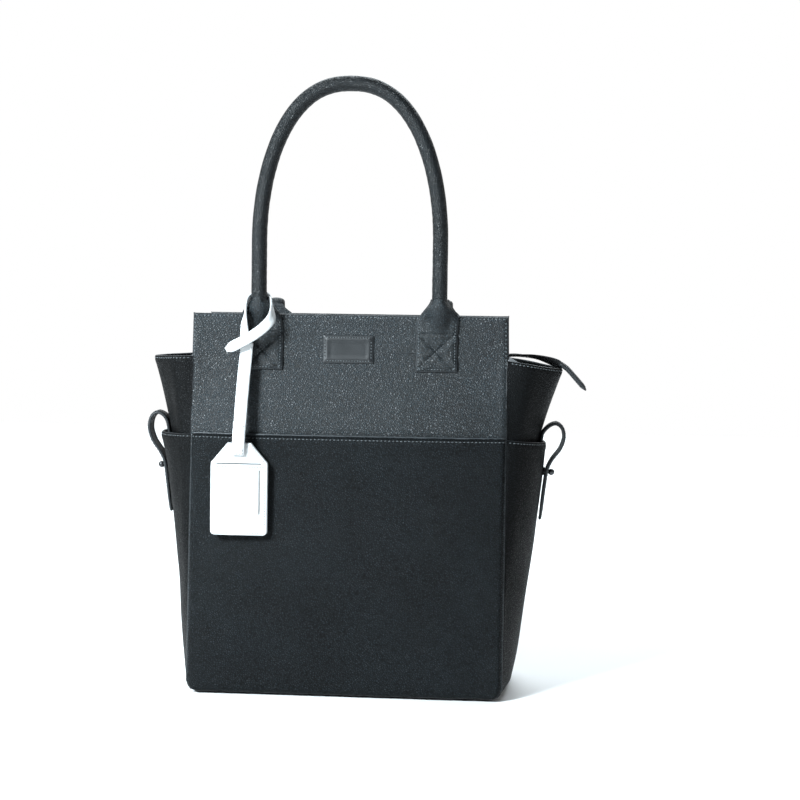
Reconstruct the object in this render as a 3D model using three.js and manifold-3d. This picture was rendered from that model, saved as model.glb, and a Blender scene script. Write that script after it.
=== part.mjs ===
// A leather nappy (diaper) tote: a tapered bag body with slip pockets all round, two rolled handles,
// a zipped top whose tail hangs over one end, two buttoned side straps and a luggage tag.
// Millimetres, +Z up, front towards -Y. The origin is the middle of the base, on the floor.

import * as THREE from "three";
import { mergeVertices } from "three/addons/utils/BufferGeometryUtils.js";
import Module from "manifold-3d";

const { degToRad, lerp } = THREE.MathUtils;
const wasm = await Module();
wasm.setup();

// ---------------------------------------------------------------- driving dimensions

const GAP = 0.3; // between pieces that lie on each other
const LEATHER = 2;
const LINING = 1.2;

const PANEL_WIDTH = 316;
const PANEL_HEIGHT = 380;
const BASE_DEPTH = 150;
const TOP_DEPTH = 100;
const GUSSET_HEIGHT = 337;
const POCKET_HEIGHT = 258;

const POCKET_GAPE = 7.5; // how far a slip pocket bows off its panel
const SEAM_BULGE = 4; // how far the gusset stands out at the base
const MOUTH_BULGE = 31; // and at the height of the side pocket's mouth
const SIDES = {
  left: { sign: -1, topBulge: 50, droop: 2, strapTop: 278.5, strapFoot: [264, 271] },
  right: { sign: 1, topBulge: 60, droop: 9, strapTop: 271.5, strapFoot: [262.3, 266.8] },
};

// The stiffener and the cloth over it: half sizes in X and Y, and their heights.
const BOARD = { half: [146, 66], bottom: LEATHER + GAP, top: 4.6 };
const FACING = { halfWidth: 152, bottom: 344, thickness: 1.6 };
const WALL_LINING = { halfWidth: 150, bottom: 7 };
const SLIP_POCKET_BOTTOM = 3;
const SIDE_POCKET_BOTTOM = 5;
const SIDE_POCKET_SEAM = PANEL_WIDTH / 2 + 2.8;
const END_LINING_CLEARANCE = 1.4; // between the gusset and the cloth inside it

const HANDLE_RADIUS = 7;
const HANDLE_SPREAD = 90; // from the middle of the bag to a leg
const HANDLE_RISE = 155; // height of the arch above its straight legs
const HANDLE_LEG = 53; // straight leg above the hinge
const HINGE_HEIGHT = 400;
const HINGE_DEPTH = 60;
const BACK_HANDLE_FOLD = 172; // degrees from upright, lying down behind the bag

const TAB_SPREAD = 88; // from the middle of the bag to the middle of a tab
const TAB_WIDTH = 40;
const TAB_BOTTOM = 322;
const TAB_SHOULDER = 368;
const TAB_CURVE = 382; // height of the shoulder curve's control point
const TAB_TOP = 390;
const TAB_THICKNESS = 3.6;
const TAB_CLEARANCE = 0.4;

const ZIP_HEIGHT = 341;
const FLAP_DEPTH = 47.5; // from the middle of the bag to the flap's fold line
const FLAP_OPEN = 78; // degrees from closed, hanging in the mouth
const FLAP_X = [-110, 120];
const FLAP_FACING = { across: [1, 36], lift: [0, 1.6] }; // measured from the fold line
const FLAP_TAPE = { across: [20, 43.5], lift: [-1.1, -GAP] };
const FLAP_TEETH = { across: [43.8, 46.8], lift: [-1.7, 0.6] };
const SLIDER = { middle: 131, length: 14, halfWidth: 4.5, height: [336.8, 345], web: 0.8 };
const SLIDER_CHANNEL = { height: [338.6, 343.8], reach: 6 };
const PULL = { length: 24, width: 7, corner: 2, thickness: 1.4, back: 8, bottom: 345.4 };
const PULL_EYE = { radius: 1.4, back: 9 };

const STRAP_WIDTH = 18;
const STRAP_THICKNESS = 3.2;
const STUD_HEIGHT = 223;
const BUTTONHOLE_RADIUS = 4.8;
const STRAP_CLEARANCE = 2.9; // from the gusset's face to the strap's middle

const LABEL = { width: 49, height: 28, corner: 1.5, thickness: 1.5, middle: 344 };
const INNER_SLIP = { width: 250, bottom: 60, top: 210, stand: 10, sign: -1 };
const INNER_BOTTLE = { width: 220, bottom: 30, top: 160, stand: 12, sign: 1 };

const TAG_X = -107;
const TAG_HEIGHT = 203.5; // of the tag's middle
const TAG_HALF = [28.5, 46];
const TAG_BACK = [75.5, 77.1]; // depths in front of the bag's middle plane
const TAG_CARD = { depth: [77.5, 78.3], width: 44, height: 58, corner: 2, drop: 10 };
const TAG_FRONT = [78.7, 80.3];
const TAG_SLOT = { halfWidth: 7.5, bottom: 237, height: 2.2 }; // the strap's end goes into it
const TAG_WINDOW = { across: [17.5, 18.8], up: [-26, 19] };
const TAG_MOUTH = { across: [-22, 22], up: [25, 26] };
const TAG_STRAP = { width: 12, thickness: 2 };
const LOOP = { width: 9, thickness: 2 };

// ---------------------------------------------------------------- materials

const leather = new THREE.MeshStandardMaterial({ color: "#24282b", roughness: 0.55 });
const suede = new THREE.MeshStandardMaterial({ color: "#1b1d1f", roughness: 0.85 });
const cotton = new THREE.MeshStandardMaterial({ color: "#8b8f94", roughness: 0.95 });
const board = new THREE.MeshStandardMaterial({ color: "#6d6a63", roughness: 0.9 });
const whiteLeather = new THREE.MeshStandardMaterial({ color: "#f4f5f5", roughness: 0.5 });
const card = new THREE.MeshStandardMaterial({ color: "#e9e7e0", roughness: 0.8 });
const metal = new THREE.MeshStandardMaterial({ color: "#2b2c2e", roughness: 0.3, metalness: 1 });

// ---------------------------------------------------------------- tools

const bag = new THREE.Group();

function add(name, geometry, material, parent = bag) {
  const mesh = new THREE.Mesh(geometry, material);
  mesh.name = name;
  parent.add(mesh);
  return mesh;
}

function block(x, y, z) {
  const [dx, dy, dz] = [x, y, z].map(([low, high]) => high - low);
  const [cx, cy, cz] = [x, y, z].map(([low, high]) => (low + high) / 2);
  return new THREE.BoxGeometry(dx, dy, dz).translate(cx, cy, cz);
}

// A sheet of material: point(u, v) is its outer face, which looks along du x dv, and the sheet runs
// from `outer` to `inner` along that normal.
function sheet(point, [nu, nv], outer, inner) {
  const geometry = new THREE.BoxGeometry(1, 1, 1, nu, nv, 1);
  const position = geometry.attributes.position;
  const STEP = 1e-3;
  for (let i = 0; i < position.count; i++) {
    const u = position.getX(i) + 0.5;
    const v = position.getY(i) + 0.5;
    const offset = lerp(inner, outer, position.getZ(i) + 0.5);
    const along = point(u + STEP, v).sub(point(u - STEP, v));
    const across = point(u, v + STEP).sub(point(u, v - STEP));
    const normal = along.cross(across).normalize();
    const at = point(u, v).addScaledVector(normal, offset);
    position.setXYZ(i, at.x, at.y, at.z);
  }
  geometry.deleteAttribute("normal");
  geometry.deleteAttribute("uv");
  return geometry;
}

// A strap of constant width along a curve in the XZ plane, lying flat side up.
function strap(points, width, thickness, steps) {
  const curve = new THREE.CatmullRomCurve3(points.map(([x, z]) => new THREE.Vector3(x, 0, z)));
  const point = (u, v) => {
    const inside = THREE.MathUtils.clamp(u, 0, 1);
    const at = curve.getPointAt(inside);
    at.addScaledVector(curve.getTangentAt(inside), (u - inside) * curve.getLength());
    at.y = (v - 0.5) * width;
    return at;
  };
  return sheet(point, [steps, 1], thickness / 2, -thickness / 2);
}

// A plate with the given outline in X and Z, from y = -near to y = -far.
function plate(shape, near, far) {
  const flat = new THREE.ExtrudeGeometry(shape, {
    depth: far - near,
    bevelEnabled: false,
    curveSegments: 6,
  });
  return flat.rotateX(Math.PI / 2).translate(0, -near, 0);
}

function rectangle(width, height, radius) {
  const [x, z] = [width / 2, height / 2];
  const shape = new THREE.Shape();
  shape.moveTo(-x + radius, -z);
  shape.lineTo(x - radius, -z);
  shape.absarc(x - radius, -z + radius, radius, -Math.PI / 2, 0);
  shape.absarc(x - radius, z - radius, radius, 0, Math.PI / 2);
  shape.absarc(-x + radius, z - radius, radius, Math.PI / 2, Math.PI);
  shape.absarc(-x + radius, -z + radius, radius, Math.PI, 1.5 * Math.PI);
  return shape;
}

function solid(geometry) {
  const bare = new THREE.BufferGeometry();
  bare.setAttribute("position", geometry.attributes.position);
  if (geometry.index) bare.setIndex(geometry.index);
  const merged = mergeVertices(bare, 1e-3);
  return new wasm.Manifold(
    new wasm.Mesh({
      numProp: 3,
      vertProperties: new Float32Array(merged.attributes.position.array),
      triVerts: new Uint32Array(merged.index.array),
    }),
  );
}

function surface(manifold) {
  const mesh = manifold.getMesh();
  const geometry = new THREE.BufferGeometry();
  geometry.setAttribute("position", new THREE.BufferAttribute(mesh.vertProperties, 3));
  geometry.setIndex(new THREE.BufferAttribute(mesh.triVerts, 1));
  return geometry;
}

const cut = (body, ...tools) =>
  surface(tools.reduce((left, tool) => left.subtract(solid(tool)), solid(body)));

// ---------------------------------------------------------------- the bag's form

const depthAt = (z) => lerp(BASE_DEPTH, TOP_DEPTH, Math.min(z / PANEL_HEIGHT, 1)) / 2;
const TILT = Math.atan((BASE_DEPTH - TOP_DEPTH) / 2 / PANEL_HEIGHT);

// How far the gusset's middle stands out from the seams, at height z.
function gussetBulge(z, topBulge) {
  if (z < POCKET_HEIGHT) return lerp(SEAM_BULGE, MOUTH_BULGE, (Math.max(z, 0) / POCKET_HEIGHT) ** 2);
  const flare = (z - POCKET_HEIGHT) / (GUSSET_HEIGHT - POCKET_HEIGHT);
  return lerp(MOUTH_BULGE, topBulge, flare ** 1.1);
}

const pocketBulge = (z) => lerp(4.5, 39.5, (Math.max(z, 0) / POCKET_HEIGHT) ** 0.8);

// A point on an arc that runs from the front seam to the back seam and bulges outwards.
function arcPoint(sign, u, z, seamX, halfDepth, bulge) {
  const halfAngle = 2 * Math.atan(bulge / halfDepth);
  const radius = halfDepth / Math.sin(halfAngle);
  const angle = lerp(-halfAngle, halfAngle, sign > 0 ? u : 1 - u);
  const x = seamX + radius * (Math.cos(angle) - Math.cos(halfAngle));
  return new THREE.Vector3(sign * x, radius * Math.sin(angle), z);
}

const GUSSET_BOTTOM = LEATHER + GAP;
const gussetPoint = (side, top) => (u, v) => {
  const droop = side.droop * Math.sin(Math.PI * THREE.MathUtils.clamp(u, 0, 1));
  const z = lerp(GUSSET_BOTTOM, top - droop, v);
  const seamX = PANEL_WIDTH / 2 + GAP;
  const halfDepth = depthAt(z) - LEATHER - 0.5;
  return arcPoint(side.sign, u, z, seamX, halfDepth, gussetBulge(z, side.topBulge));
};

const sidePocketPoint = (side) => (u, v) => {
  const z = lerp(SIDE_POCKET_BOTTOM, POCKET_HEIGHT, v);
  return arcPoint(side.sign, u, z, SIDE_POCKET_SEAM, depthAt(z), pocketBulge(z));
};

// ---------------------------------------------------------------- body pieces

function addBase() {
  const outline = rectangle(PANEL_WIDTH, BASE_DEPTH, 6);
  const upwards = { depth: LEATHER, bevelEnabled: false, curveSegments: 3 };
  const flat = new THREE.ExtrudeGeometry(outline, upwards);
  add("base_panel", flat, leather);
  const [x, y] = BOARD.half.map((half) => [-half, half]);
  add("base_board", block(x, y, [BOARD.bottom, BOARD.top]), board);
  const cloth = BOARD.top + GAP;
  add("base_lining", block(x, y, [cloth, cloth + LINING]), cotton);
}

// A wall of the front or back face, between two heights and two depths behind the outer surface.
function wall(halfWidth, bottom, top, outer, inner) {
  const point = (u, v) => {
    const z = lerp(bottom, top, v);
    return new THREE.Vector3(lerp(-halfWidth, halfWidth, u), -depthAt(z), z);
  };
  return sheet(point, [1, 1], -outer, -inner);
}

// The slip pocket's inner face stands this far off the panel.
function pocketGap(x, z) {
  const across = 1 - Math.abs(x / (PANEL_WIDTH / 2)) ** 3;
  return 0.4 + POCKET_GAPE * across * (z / POCKET_HEIGHT) ** 0.7;
}

function slipPocket() {
  const point = (u, v) => {
    const z = lerp(SLIP_POCKET_BOTTOM, POCKET_HEIGHT, v);
    const x = lerp(-PANEL_WIDTH / 2, PANEL_WIDTH / 2, THREE.MathUtils.clamp(u, 0, 1));
    const over = (u - THREE.MathUtils.clamp(u, 0, 1)) * PANEL_WIDTH;
    return new THREE.Vector3(x + over, -depthAt(z) - pocketGap(x, z), z);
  };
  return sheet(point, [10, 6], LEATHER, 0);
}

function handleTab() {
  const half = TAB_WIDTH / 2;
  const neck = HANDLE_RADIUS + 1;
  const shape = new THREE.Shape();
  shape.moveTo(-half, TAB_BOTTOM);
  shape.lineTo(half, TAB_BOTTOM);
  shape.lineTo(half, TAB_SHOULDER);
  shape.quadraticCurveTo(half, TAB_CURVE, neck, TAB_TOP);
  shape.lineTo(-neck, TAB_TOP);
  shape.quadraticCurveTo(-half, TAB_CURVE, -half, TAB_SHOULDER);
  return plate(shape, TAB_CLEARANCE, TAB_CLEARANCE + TAB_THICKNESS);
}

// ---------------------------------------------------------------- handles

class HandleCurve extends THREE.Curve {
  // From the foot of the left leg, over the arch, to the foot of the right leg.
  getPoint(t) {
    const FOOT = -6;
    const LEG_SHARE = 0.13;
    const sign = t < 0.5 ? -1 : 1;
    const fromFoot = Math.min(t, 1 - t);
    if (fromFoot < LEG_SHARE) {
      const height = lerp(FOOT, HANDLE_LEG, fromFoot / LEG_SHARE);
      return new THREE.Vector3(sign * HANDLE_SPREAD, 0, height);
    }
    const angle = (Math.PI / 2) * ((fromFoot - LEG_SHARE) / (0.5 - LEG_SHARE));
    const SQUARENESS = 0.85; // 1 is a plain ellipse
    const x = sign * HANDLE_SPREAD * Math.max(Math.cos(angle), 0) ** SQUARENESS;
    return new THREE.Vector3(x, 0, HANDLE_LEG + HANDLE_RISE * Math.sin(angle));
  }
}

function circle(radius, sides) {
  return Array.from({ length: sides }, (_, i) => {
    const angle = (2 * Math.PI * i) / sides;
    return new THREE.Vector2(radius * Math.cos(angle), radius * Math.sin(angle));
  });
}

function addHandle(name, face, fold) {
  const hinge = new THREE.Group();
  hinge.position.set(0, -HINGE_DEPTH, HINGE_HEIGHT);
  hinge.rotation.x = degToRad(fold);
  face.add(hinge);
  const STEPS = 44;
  const along = { steps: STEPS, extrudePath: new HandleCurve(), bevelEnabled: false };
  const ring = new THREE.Shape(circle(HANDLE_RADIUS, 12));
  ring.holes.push(new THREE.Path(circle(HANDLE_RADIUS - LEATHER, 8)));
  add(`${name}_handle_cover`, new THREE.ExtrudeGeometry(ring, along), leather, hinge);
  const CORE_CLEARANCE = 0.8;
  const core = new THREE.Shape(circle(HANDLE_RADIUS - LEATHER - CORE_CLEARANCE, 8));
  add(`${name}_handle_core`, new THREE.ExtrudeGeometry(core, along), board, hinge);
}

// ---------------------------------------------------------------- zip flaps

function addZipFlap(name, face) {
  const fold = new THREE.Group();
  fold.position.set(0, -FLAP_DEPTH, ZIP_HEIGHT);
  fold.rotation.x = degToRad(-FLAP_OPEN);
  face.add(fold);
  const mirrored = name === "back" ? [-FLAP_X[1], -FLAP_X[0]] : FLAP_X;
  const strip = ({ across, lift }) => block(mirrored, across, lift);
  add(`${name}_zip_facing`, strip(FLAP_FACING), leather, fold);
  add(`${name}_zip_tape`, strip(FLAP_TAPE), suede, fold);
  add(`${name}_zip_teeth`, strip(FLAP_TEETH), metal, fold);
}

// ---------------------------------------------------------------- front and back faces

function addFace(name) {
  const face = new THREE.Group();
  if (name === "back") face.rotation.z = Math.PI;
  bag.add(face);
  const behind = LEATHER + GAP;
  add(`${name}_panel`, wall(PANEL_WIDTH / 2, behind, PANEL_HEIGHT, 0, LEATHER), leather, face);
  add(`${name}_pocket`, slipPocket(), leather, face);
  const { halfWidth, bottom, thickness } = FACING;
  const facing = wall(halfWidth, bottom, PANEL_HEIGHT - 1, behind, behind + thickness);
  add(`${name}_facing`, facing, leather, face);
  const liningTop = FACING.bottom - 1;
  const cloth = wall(WALL_LINING.halfWidth, WALL_LINING.bottom, liningTop, behind, behind + LINING);
  add(`${name}_lining`, cloth, cotton, face);
  const upslope = new THREE.Group();
  upslope.position.y = -BASE_DEPTH / 2;
  upslope.rotation.x = -TILT;
  face.add(upslope);
  for (const side of ["left", "right"]) {
    const sign = (side === "left" ? -1 : 1) * (name === "back" ? -1 : 1);
    const tab = add(`${name}_${side}_handle_tab`, handleTab(), leather, upslope);
    tab.position.x = sign * TAB_SPREAD;
  }
  addHandle(name, face, name === "back" ? BACK_HANDLE_FOLD : 0);
  addZipFlap(name, face);
  return upslope;
}

// ---------------------------------------------------------------- ends of the bag

// The buttoned strap is sewn on above the side pocket, arches over its mouth and hangs outside it.
function strapRoot(side) {
  const seam = PANEL_WIDTH / 2 + GAP + STRAP_CLEARANCE;
  const sewn = side.strapFoot.map((z) => [seam + gussetBulge(z, side.topBulge), z]);
  return [...sewn, [204.5, side.strapTop]];
}

// X, and how far up the arch from its foot, at height 236, to its top.
const STRAP_ARCH = [
  [211, 1],
  [215.5, 0.83],
  [216.5, 0.57],
  [213, 0.28],
  [205, 0],
];
const STRAP_TAIL = [
  [200.5, 228],
  [199.4, 222],
  [197.3, 204],
  [194.2, 174],
];

function strapHang(side) {
  const ARCH_FOOT = 236;
  const arch = STRAP_ARCH.map(([x, up]) => [x, lerp(ARCH_FOOT, side.strapTop - 0.5, up)]);
  return strap([...arch, ...STRAP_TAIL], STRAP_WIDTH, STRAP_THICKNESS, 22);
}

function pocketNormal(z) {
  const STEP = 1;
  const slope = (pocketBulge(z + STEP) - pocketBulge(z - STEP)) / (2 * STEP);
  return new THREE.Vector2(1, -slope).normalize();
}

function strapStud() {
  // Radius and height: a sewn-on disc, a stem, then the ball.
  const profile = [
    [0, 0],
    [4.2, 0],
    [4.2, 0.8],
    [2, 1.2],
    [2, 5.6],
  ];
  const BALL = 3.4;
  const BALL_HEIGHT = 8;
  const NECK_ANGLE = -0.6; // where the ball's profile leaves the stem
  const STEPS = 6;
  for (let i = 1; i < STEPS; i++) {
    const angle = lerp(NECK_ANGLE, Math.PI / 2, i / STEPS);
    profile.push([BALL * Math.cos(angle), BALL_HEIGHT + BALL * Math.sin(angle)]);
  }
  profile.push([0, BALL_HEIGHT + BALL]);
  return new THREE.LatheGeometry(profile.map(([r, y]) => new THREE.Vector2(r, y)), 16);
}

function addEnd(name) {
  const side = SIDES[name];
  const flip = (geometry) => geometry.rotateZ(side.sign > 0 ? 0 : Math.PI);
  add(`${name}_gusset`, sheet(gussetPoint(side, GUSSET_HEIGHT), [12, 10], 0, -LEATHER), leather);
  const behind = LEATHER + END_LINING_CLEARANCE;
  const lower = gussetPoint(side, GUSSET_HEIGHT - 3);
  const liningPoint = (u, v) => lower(lerp(0.03, 0.97, u), lerp(0.02, 1, v));
  add(`${name}_lining`, sheet(liningPoint, [10, 8], -behind, -behind - LINING), cotton);
  add(`${name}_side_pocket`, sheet(sidePocketPoint(side), [12, 8], 0, -LEATHER), leather);

  const root = strap(strapRoot(side), STRAP_WIDTH, STRAP_THICKNESS, 5);
  add(`${name}_strap_root`, flip(root), leather);

  const normal = pocketNormal(STUD_HEIGHT);
  const wallX = SIDE_POCKET_SEAM + pocketBulge(STUD_HEIGHT);
  const tilt = Math.atan2(normal.y, normal.x);
  const place = (geometry) =>
    geometry
      .rotateZ(-Math.PI / 2)
      .rotateY(-tilt)
      .translate(wallX + GAP * normal.x, 0, STUD_HEIGHT + GAP * normal.y);
  add(`${name}_strap_stud`, flip(place(strapStud())), metal);
  const buttonhole = place(new THREE.CylinderGeometry(BUTTONHOLE_RADIUS, BUTTONHOLE_RADIUS, 40, 16));
  add(`${name}_side_strap`, flip(cut(strapHang(side), buttonhole)), leather);
}

// ---------------------------------------------------------------- zip slider and tail

const TAIL_PATH = [
  [139, 340.5],
  [162, 340.5],
  [182, 340],
  [198, 338],
  [210, 334],
  [218, 329],
];

const TAIL_TAPE = { width: 28, thickness: 1.2 };
const TAIL_TEETH = { start: 142.5, width: 5, thickness: 2, lift: 2 };
const END_TAB = { width: 22, thickness: 3.6 };
const END_TAB_PATH = [
  [221.5, 326.5],
  [229, 319],
  [239, 307],
];

function addZipTail() {
  add("zip_tail_tape", strap(TAIL_PATH, TAIL_TAPE.width, TAIL_TAPE.thickness, 12), suede);
  const [[, startZ], ...rest] = TAIL_PATH;
  const above = [[TAIL_TEETH.start, startZ], ...rest].map(([x, z]) => [x, z + TAIL_TEETH.lift]);
  add("zip_tail_teeth", strap(above, TAIL_TEETH.width, TAIL_TEETH.thickness, 12), metal);
  add("zip_end_tab", strap(END_TAB_PATH, END_TAB.width, END_TAB.thickness, 4), leather);

  const { middle, length, halfWidth, height, web } = SLIDER;
  const body = block([middle - length / 2, middle + length / 2], [-halfWidth, halfWidth], height);
  const { reach } = SLIDER_CHANNEL;
  const through = [middle - length, middle + length];
  const channel = (y) => block(through, y, SLIDER_CHANNEL.height);
  const channels = [channel([-reach, -web / 2]), channel([web / 2, reach])];
  add("zip_slider", cut(body, ...channels), metal);

  const upwards = { depth: PULL.thickness, bevelEnabled: false, curveSegments: 3 };
  const outline = rectangle(PULL.length, PULL.width, PULL.corner);
  const eye = new THREE.CylinderGeometry(PULL_EYE.radius, PULL_EYE.radius, 8, 12)
    .rotateX(Math.PI / 2)
    .translate(-PULL_EYE.back, 0, 0);
  const pull = cut(new THREE.ExtrudeGeometry(outline, upwards), eye);
  add("zip_pull", pull, metal).position.set(middle - PULL.back, 0, PULL.bottom);
}

// ---------------------------------------------------------------- inside pockets

const INNER_CLEARANCE = 0.5; // between a wall's lining and the pocket on it

function innerPocket({ width, bottom, top, stand, sign }) {
  const wallY = LEATHER + GAP + LINING + INNER_CLEARANCE;
  const point = (u, v) => {
    const z = lerp(bottom, top, v);
    const bow = 1 - (2 * THREE.MathUtils.clamp(u, 0, 1) - 1) ** 4;
    const y = depthAt(z) - wallY - (stand * bow * (z - bottom)) / (top - bottom);
    return new THREE.Vector3(sign * lerp(-width / 2, width / 2, u), sign * y, z);
  };
  return sheet(point, [8, 4], LINING, 0);
}

// ---------------------------------------------------------------- label and luggage tag

function addLabel(upslope) {
  const outline = rectangle(LABEL.width, LABEL.height, LABEL.corner);
  const patch = plate(outline, TAB_CLEARANCE, TAB_CLEARANCE + LABEL.thickness);
  add("label_patch", patch, leather, upslope).position.z = LABEL.middle;
}

// A ribbon along a path in space. Each point is [x, y, z, facing]: the flat side's heading in
// degrees about the leg, where 0 looks forwards and -90 looks left.
function ribbon(points, width, thickness, steps) {
  const path = new THREE.CatmullRomCurve3(points.map(([x, y, z]) => new THREE.Vector3(x, y, z)));
  const facings = new THREE.CatmullRomCurve3(points.map((p) => new THREE.Vector3(p[3], 0, 0)));
  const point = (u, v) => {
    const inside = THREE.MathUtils.clamp(u, 0, 1);
    const at = path.getPoint(inside);
    const tangent = path.getTangent(inside);
    const facing = degToRad(facings.getPoint(inside).x);
    const away = new THREE.Vector3(Math.sin(facing), -Math.cos(facing), 0);
    const across = new THREE.Vector3().crossVectors(away, tangent).normalize();
    at.addScaledVector(tangent, (u - inside) * path.getLength());
    return at.addScaledVector(across, (v - 0.5) * width);
  };
  return sheet(point, [steps, 1], thickness / 2, -thickness / 2);
}

// Up the left of the leg, behind it, down its right and across the front to the strap's free tip.
const LOOP_PATH = [
  [-103, -62.5, 353, -60],
  [-105, -61.8, 368, -75],
  [-103.5, -61, 381, -90],
  [-101, -57, 392.5, -110],
  [-95, -48, 397, -150],
  [-90, -46.5, 397.5, -180],
  [-85, -48, 397, -210],
  [-79, -57, 392.5, -250],
  [-76, -63, 382, -270],
  [-78, -67.5, 374, -300],
  [-87, -68.5, 365.5, -345],
  [-99, -69.5, 356, -360],
  [-112, -69.5, 349, -360],
  [-121, -69, 344, -360],
];

// A flat stretch of strap in front of the bag, from one point to another.
function flatStrap(from, to, width, thickness) {
  const [a, b] = [new THREE.Vector3(...from), new THREE.Vector3(...to)];
  const point = (u, v) => a.clone().lerp(b, u).add(new THREE.Vector3((v - 0.5) * width, 0, 0));
  return sheet(point, [1, 1], thickness / 2, -thickness / 2);
}

function tagOutline() {
  const [half, tall] = TAG_HALF;
  const CHAMFER = [17, 20];
  const CORNER = 4;
  const shape = new THREE.Shape();
  shape.moveTo(-half + CORNER, -tall);
  shape.lineTo(half - CORNER, -tall);
  shape.quadraticCurveTo(half, -tall, half, -tall + CORNER);
  shape.lineTo(half, tall - CHAMFER[1]);
  shape.lineTo(half - CHAMFER[0], tall);
  shape.lineTo(-half + CHAMFER[0], tall);
  shape.lineTo(-half, tall - CHAMFER[1]);
  shape.lineTo(-half, -tall + CORNER);
  shape.quadraticCurveTo(-half, -tall, -half + CORNER, -tall);
  return shape;
}

function addTag() {
  add("tag_strap_loop", ribbon(LOOP_PATH, LOOP.width, LOOP.thickness, 36), whiteLeather);
  const knot = [-101.5, -62.5, 347];
  const bend = [-103.6, -67]; // X and Y of the bend between the strap's two lengths
  const end = [TAG_X, -84, TAG_SLOT.bottom + 3];
  const { width, thickness } = TAG_STRAP;
  add("tag_strap_upper", flatStrap(knot, [...bend, 322.3], width, thickness), whiteLeather);
  add("tag_strap_lower", flatStrap([...bend, 319.9], end, width, thickness), whiteLeather);

  const tag = new THREE.Group();
  tag.position.set(TAG_X, 0, TAG_HEIGHT);
  bag.add(tag);
  const THROUGH = [-90, -60];
  const slotFoot = TAG_SLOT.bottom - TAG_HEIGHT;
  const slotAcross = [-TAG_SLOT.halfWidth, TAG_SLOT.halfWidth];
  const slot = block(slotAcross, THROUGH, [slotFoot, slotFoot + TAG_SLOT.height]);
  add("tag_back", cut(plate(tagOutline(), ...TAG_BACK), slot), whiteLeather, tag);
  const paper = rectangle(TAG_CARD.width, TAG_CARD.height, TAG_CARD.corner);
  add("tag_card", plate(paper, ...TAG_CARD.depth), card, tag).position.z = -TAG_CARD.drop;
  const window = block(TAG_WINDOW.across, THROUGH, TAG_WINDOW.up);
  const mouth = block(TAG_MOUTH.across, THROUGH, TAG_MOUTH.up);
  add("tag_front", cut(plate(tagOutline(), ...TAG_FRONT), slot, window, mouth), whiteLeather, tag);
}

// ---------------------------------------------------------------- assembly

addBase();
const frontSlope = addFace("front");
addFace("back");
addEnd("left");
addEnd("right");
addZipTail();
add("inner_slip_pocket", innerPocket(INNER_SLIP), cotton);
add("inner_bottle_pocket", innerPocket(INNER_BOTTLE), cotton);
addLabel(frontSlope);
addTag();

export default bag;
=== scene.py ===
"""A black leather changing-bag tote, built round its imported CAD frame.

Lengths below are in millimetres in the part's frame (+Z up, front towards -Y), and are scaled to
metres when a mesh is made. side is -1 for the front or the left and 1 for the back or the right.
"""

import math
import random

import bmesh
import bpy
from mathutils import Matrix, Vector, noise


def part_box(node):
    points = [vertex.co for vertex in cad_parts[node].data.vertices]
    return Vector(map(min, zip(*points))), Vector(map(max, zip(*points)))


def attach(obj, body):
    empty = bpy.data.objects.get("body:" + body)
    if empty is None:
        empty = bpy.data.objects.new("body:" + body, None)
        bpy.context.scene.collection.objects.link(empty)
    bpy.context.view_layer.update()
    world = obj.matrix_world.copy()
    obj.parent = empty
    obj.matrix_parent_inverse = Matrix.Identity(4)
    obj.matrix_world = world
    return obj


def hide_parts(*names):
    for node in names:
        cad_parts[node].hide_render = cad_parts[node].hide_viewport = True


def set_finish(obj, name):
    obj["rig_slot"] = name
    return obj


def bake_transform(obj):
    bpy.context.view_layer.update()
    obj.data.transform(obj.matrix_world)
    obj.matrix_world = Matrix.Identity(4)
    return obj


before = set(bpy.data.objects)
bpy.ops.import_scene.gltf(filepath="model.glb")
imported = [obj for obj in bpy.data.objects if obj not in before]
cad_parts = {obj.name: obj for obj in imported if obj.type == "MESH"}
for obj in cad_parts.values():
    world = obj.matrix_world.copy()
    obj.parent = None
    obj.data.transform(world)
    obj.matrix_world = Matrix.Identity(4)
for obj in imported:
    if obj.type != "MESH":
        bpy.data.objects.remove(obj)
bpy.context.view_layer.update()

MM = 0.001
rng = random.Random(11)


def cad_box(node):
    """Lowest and highest corner of a CAD node, in millimetres."""
    low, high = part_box(node)
    return Vector(low) / MM, Vector(high) / MM


PANEL = cad_box("front_panel")
BASE = cad_box("base_panel")
HALF_WIDTH = PANEL[1].x
TOP = PANEL[1].z
BASE_HALF_DEPTH = BASE[1].y
TOP_HALF_DEPTH = 50
LEATHER = 2
SEAM_INSET = 1.9  # a stitch row's distance from the edge it follows
STITCH_PITCH = 3.9
SLIP_RISE = 2.5  # how far the leather of the slip pockets stands above their cloth
HEM_ROW = 4.2  # how far below the folded lip of a slip pocket its stitch row runs

GUSSET_TOP = cad_box("right_gusset")[1].z
POCKET_TOP = cad_box("front_pocket")[1].z
HINGE_OUT, HINGE_HEIGHT = 60, 400  # where both handles turn
HANDLE_SPREAD = 90
HANDLE_RADIUS = 7.6
BACK_FOLD = math.radians(172)
FLAP_PIVOT = (47.5, 341)
FLAP_OPEN = math.radians(78)


# ---- numbers and curves


def lerp(a, b, t):
    return a + (b - a) * t


def smooth(a, b, x):
    t = min(max((x - a) / (b - a), 0), 1)
    return t * t * (3 - 2 * t)


def bump(x, centre, width):
    return math.exp(-(((x - centre) / width) ** 2))


def wave(x, y, z, size, amplitude):
    """Slow, smooth unevenness of that size."""
    return amplitude * noise.noise(Vector((x, y, z)) / size)


# Distances from a seam that get points of their own.
FINE = [0, 0.7, 1.5, 2.3, 3.1, 4.2, 6, 9, 13]


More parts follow.
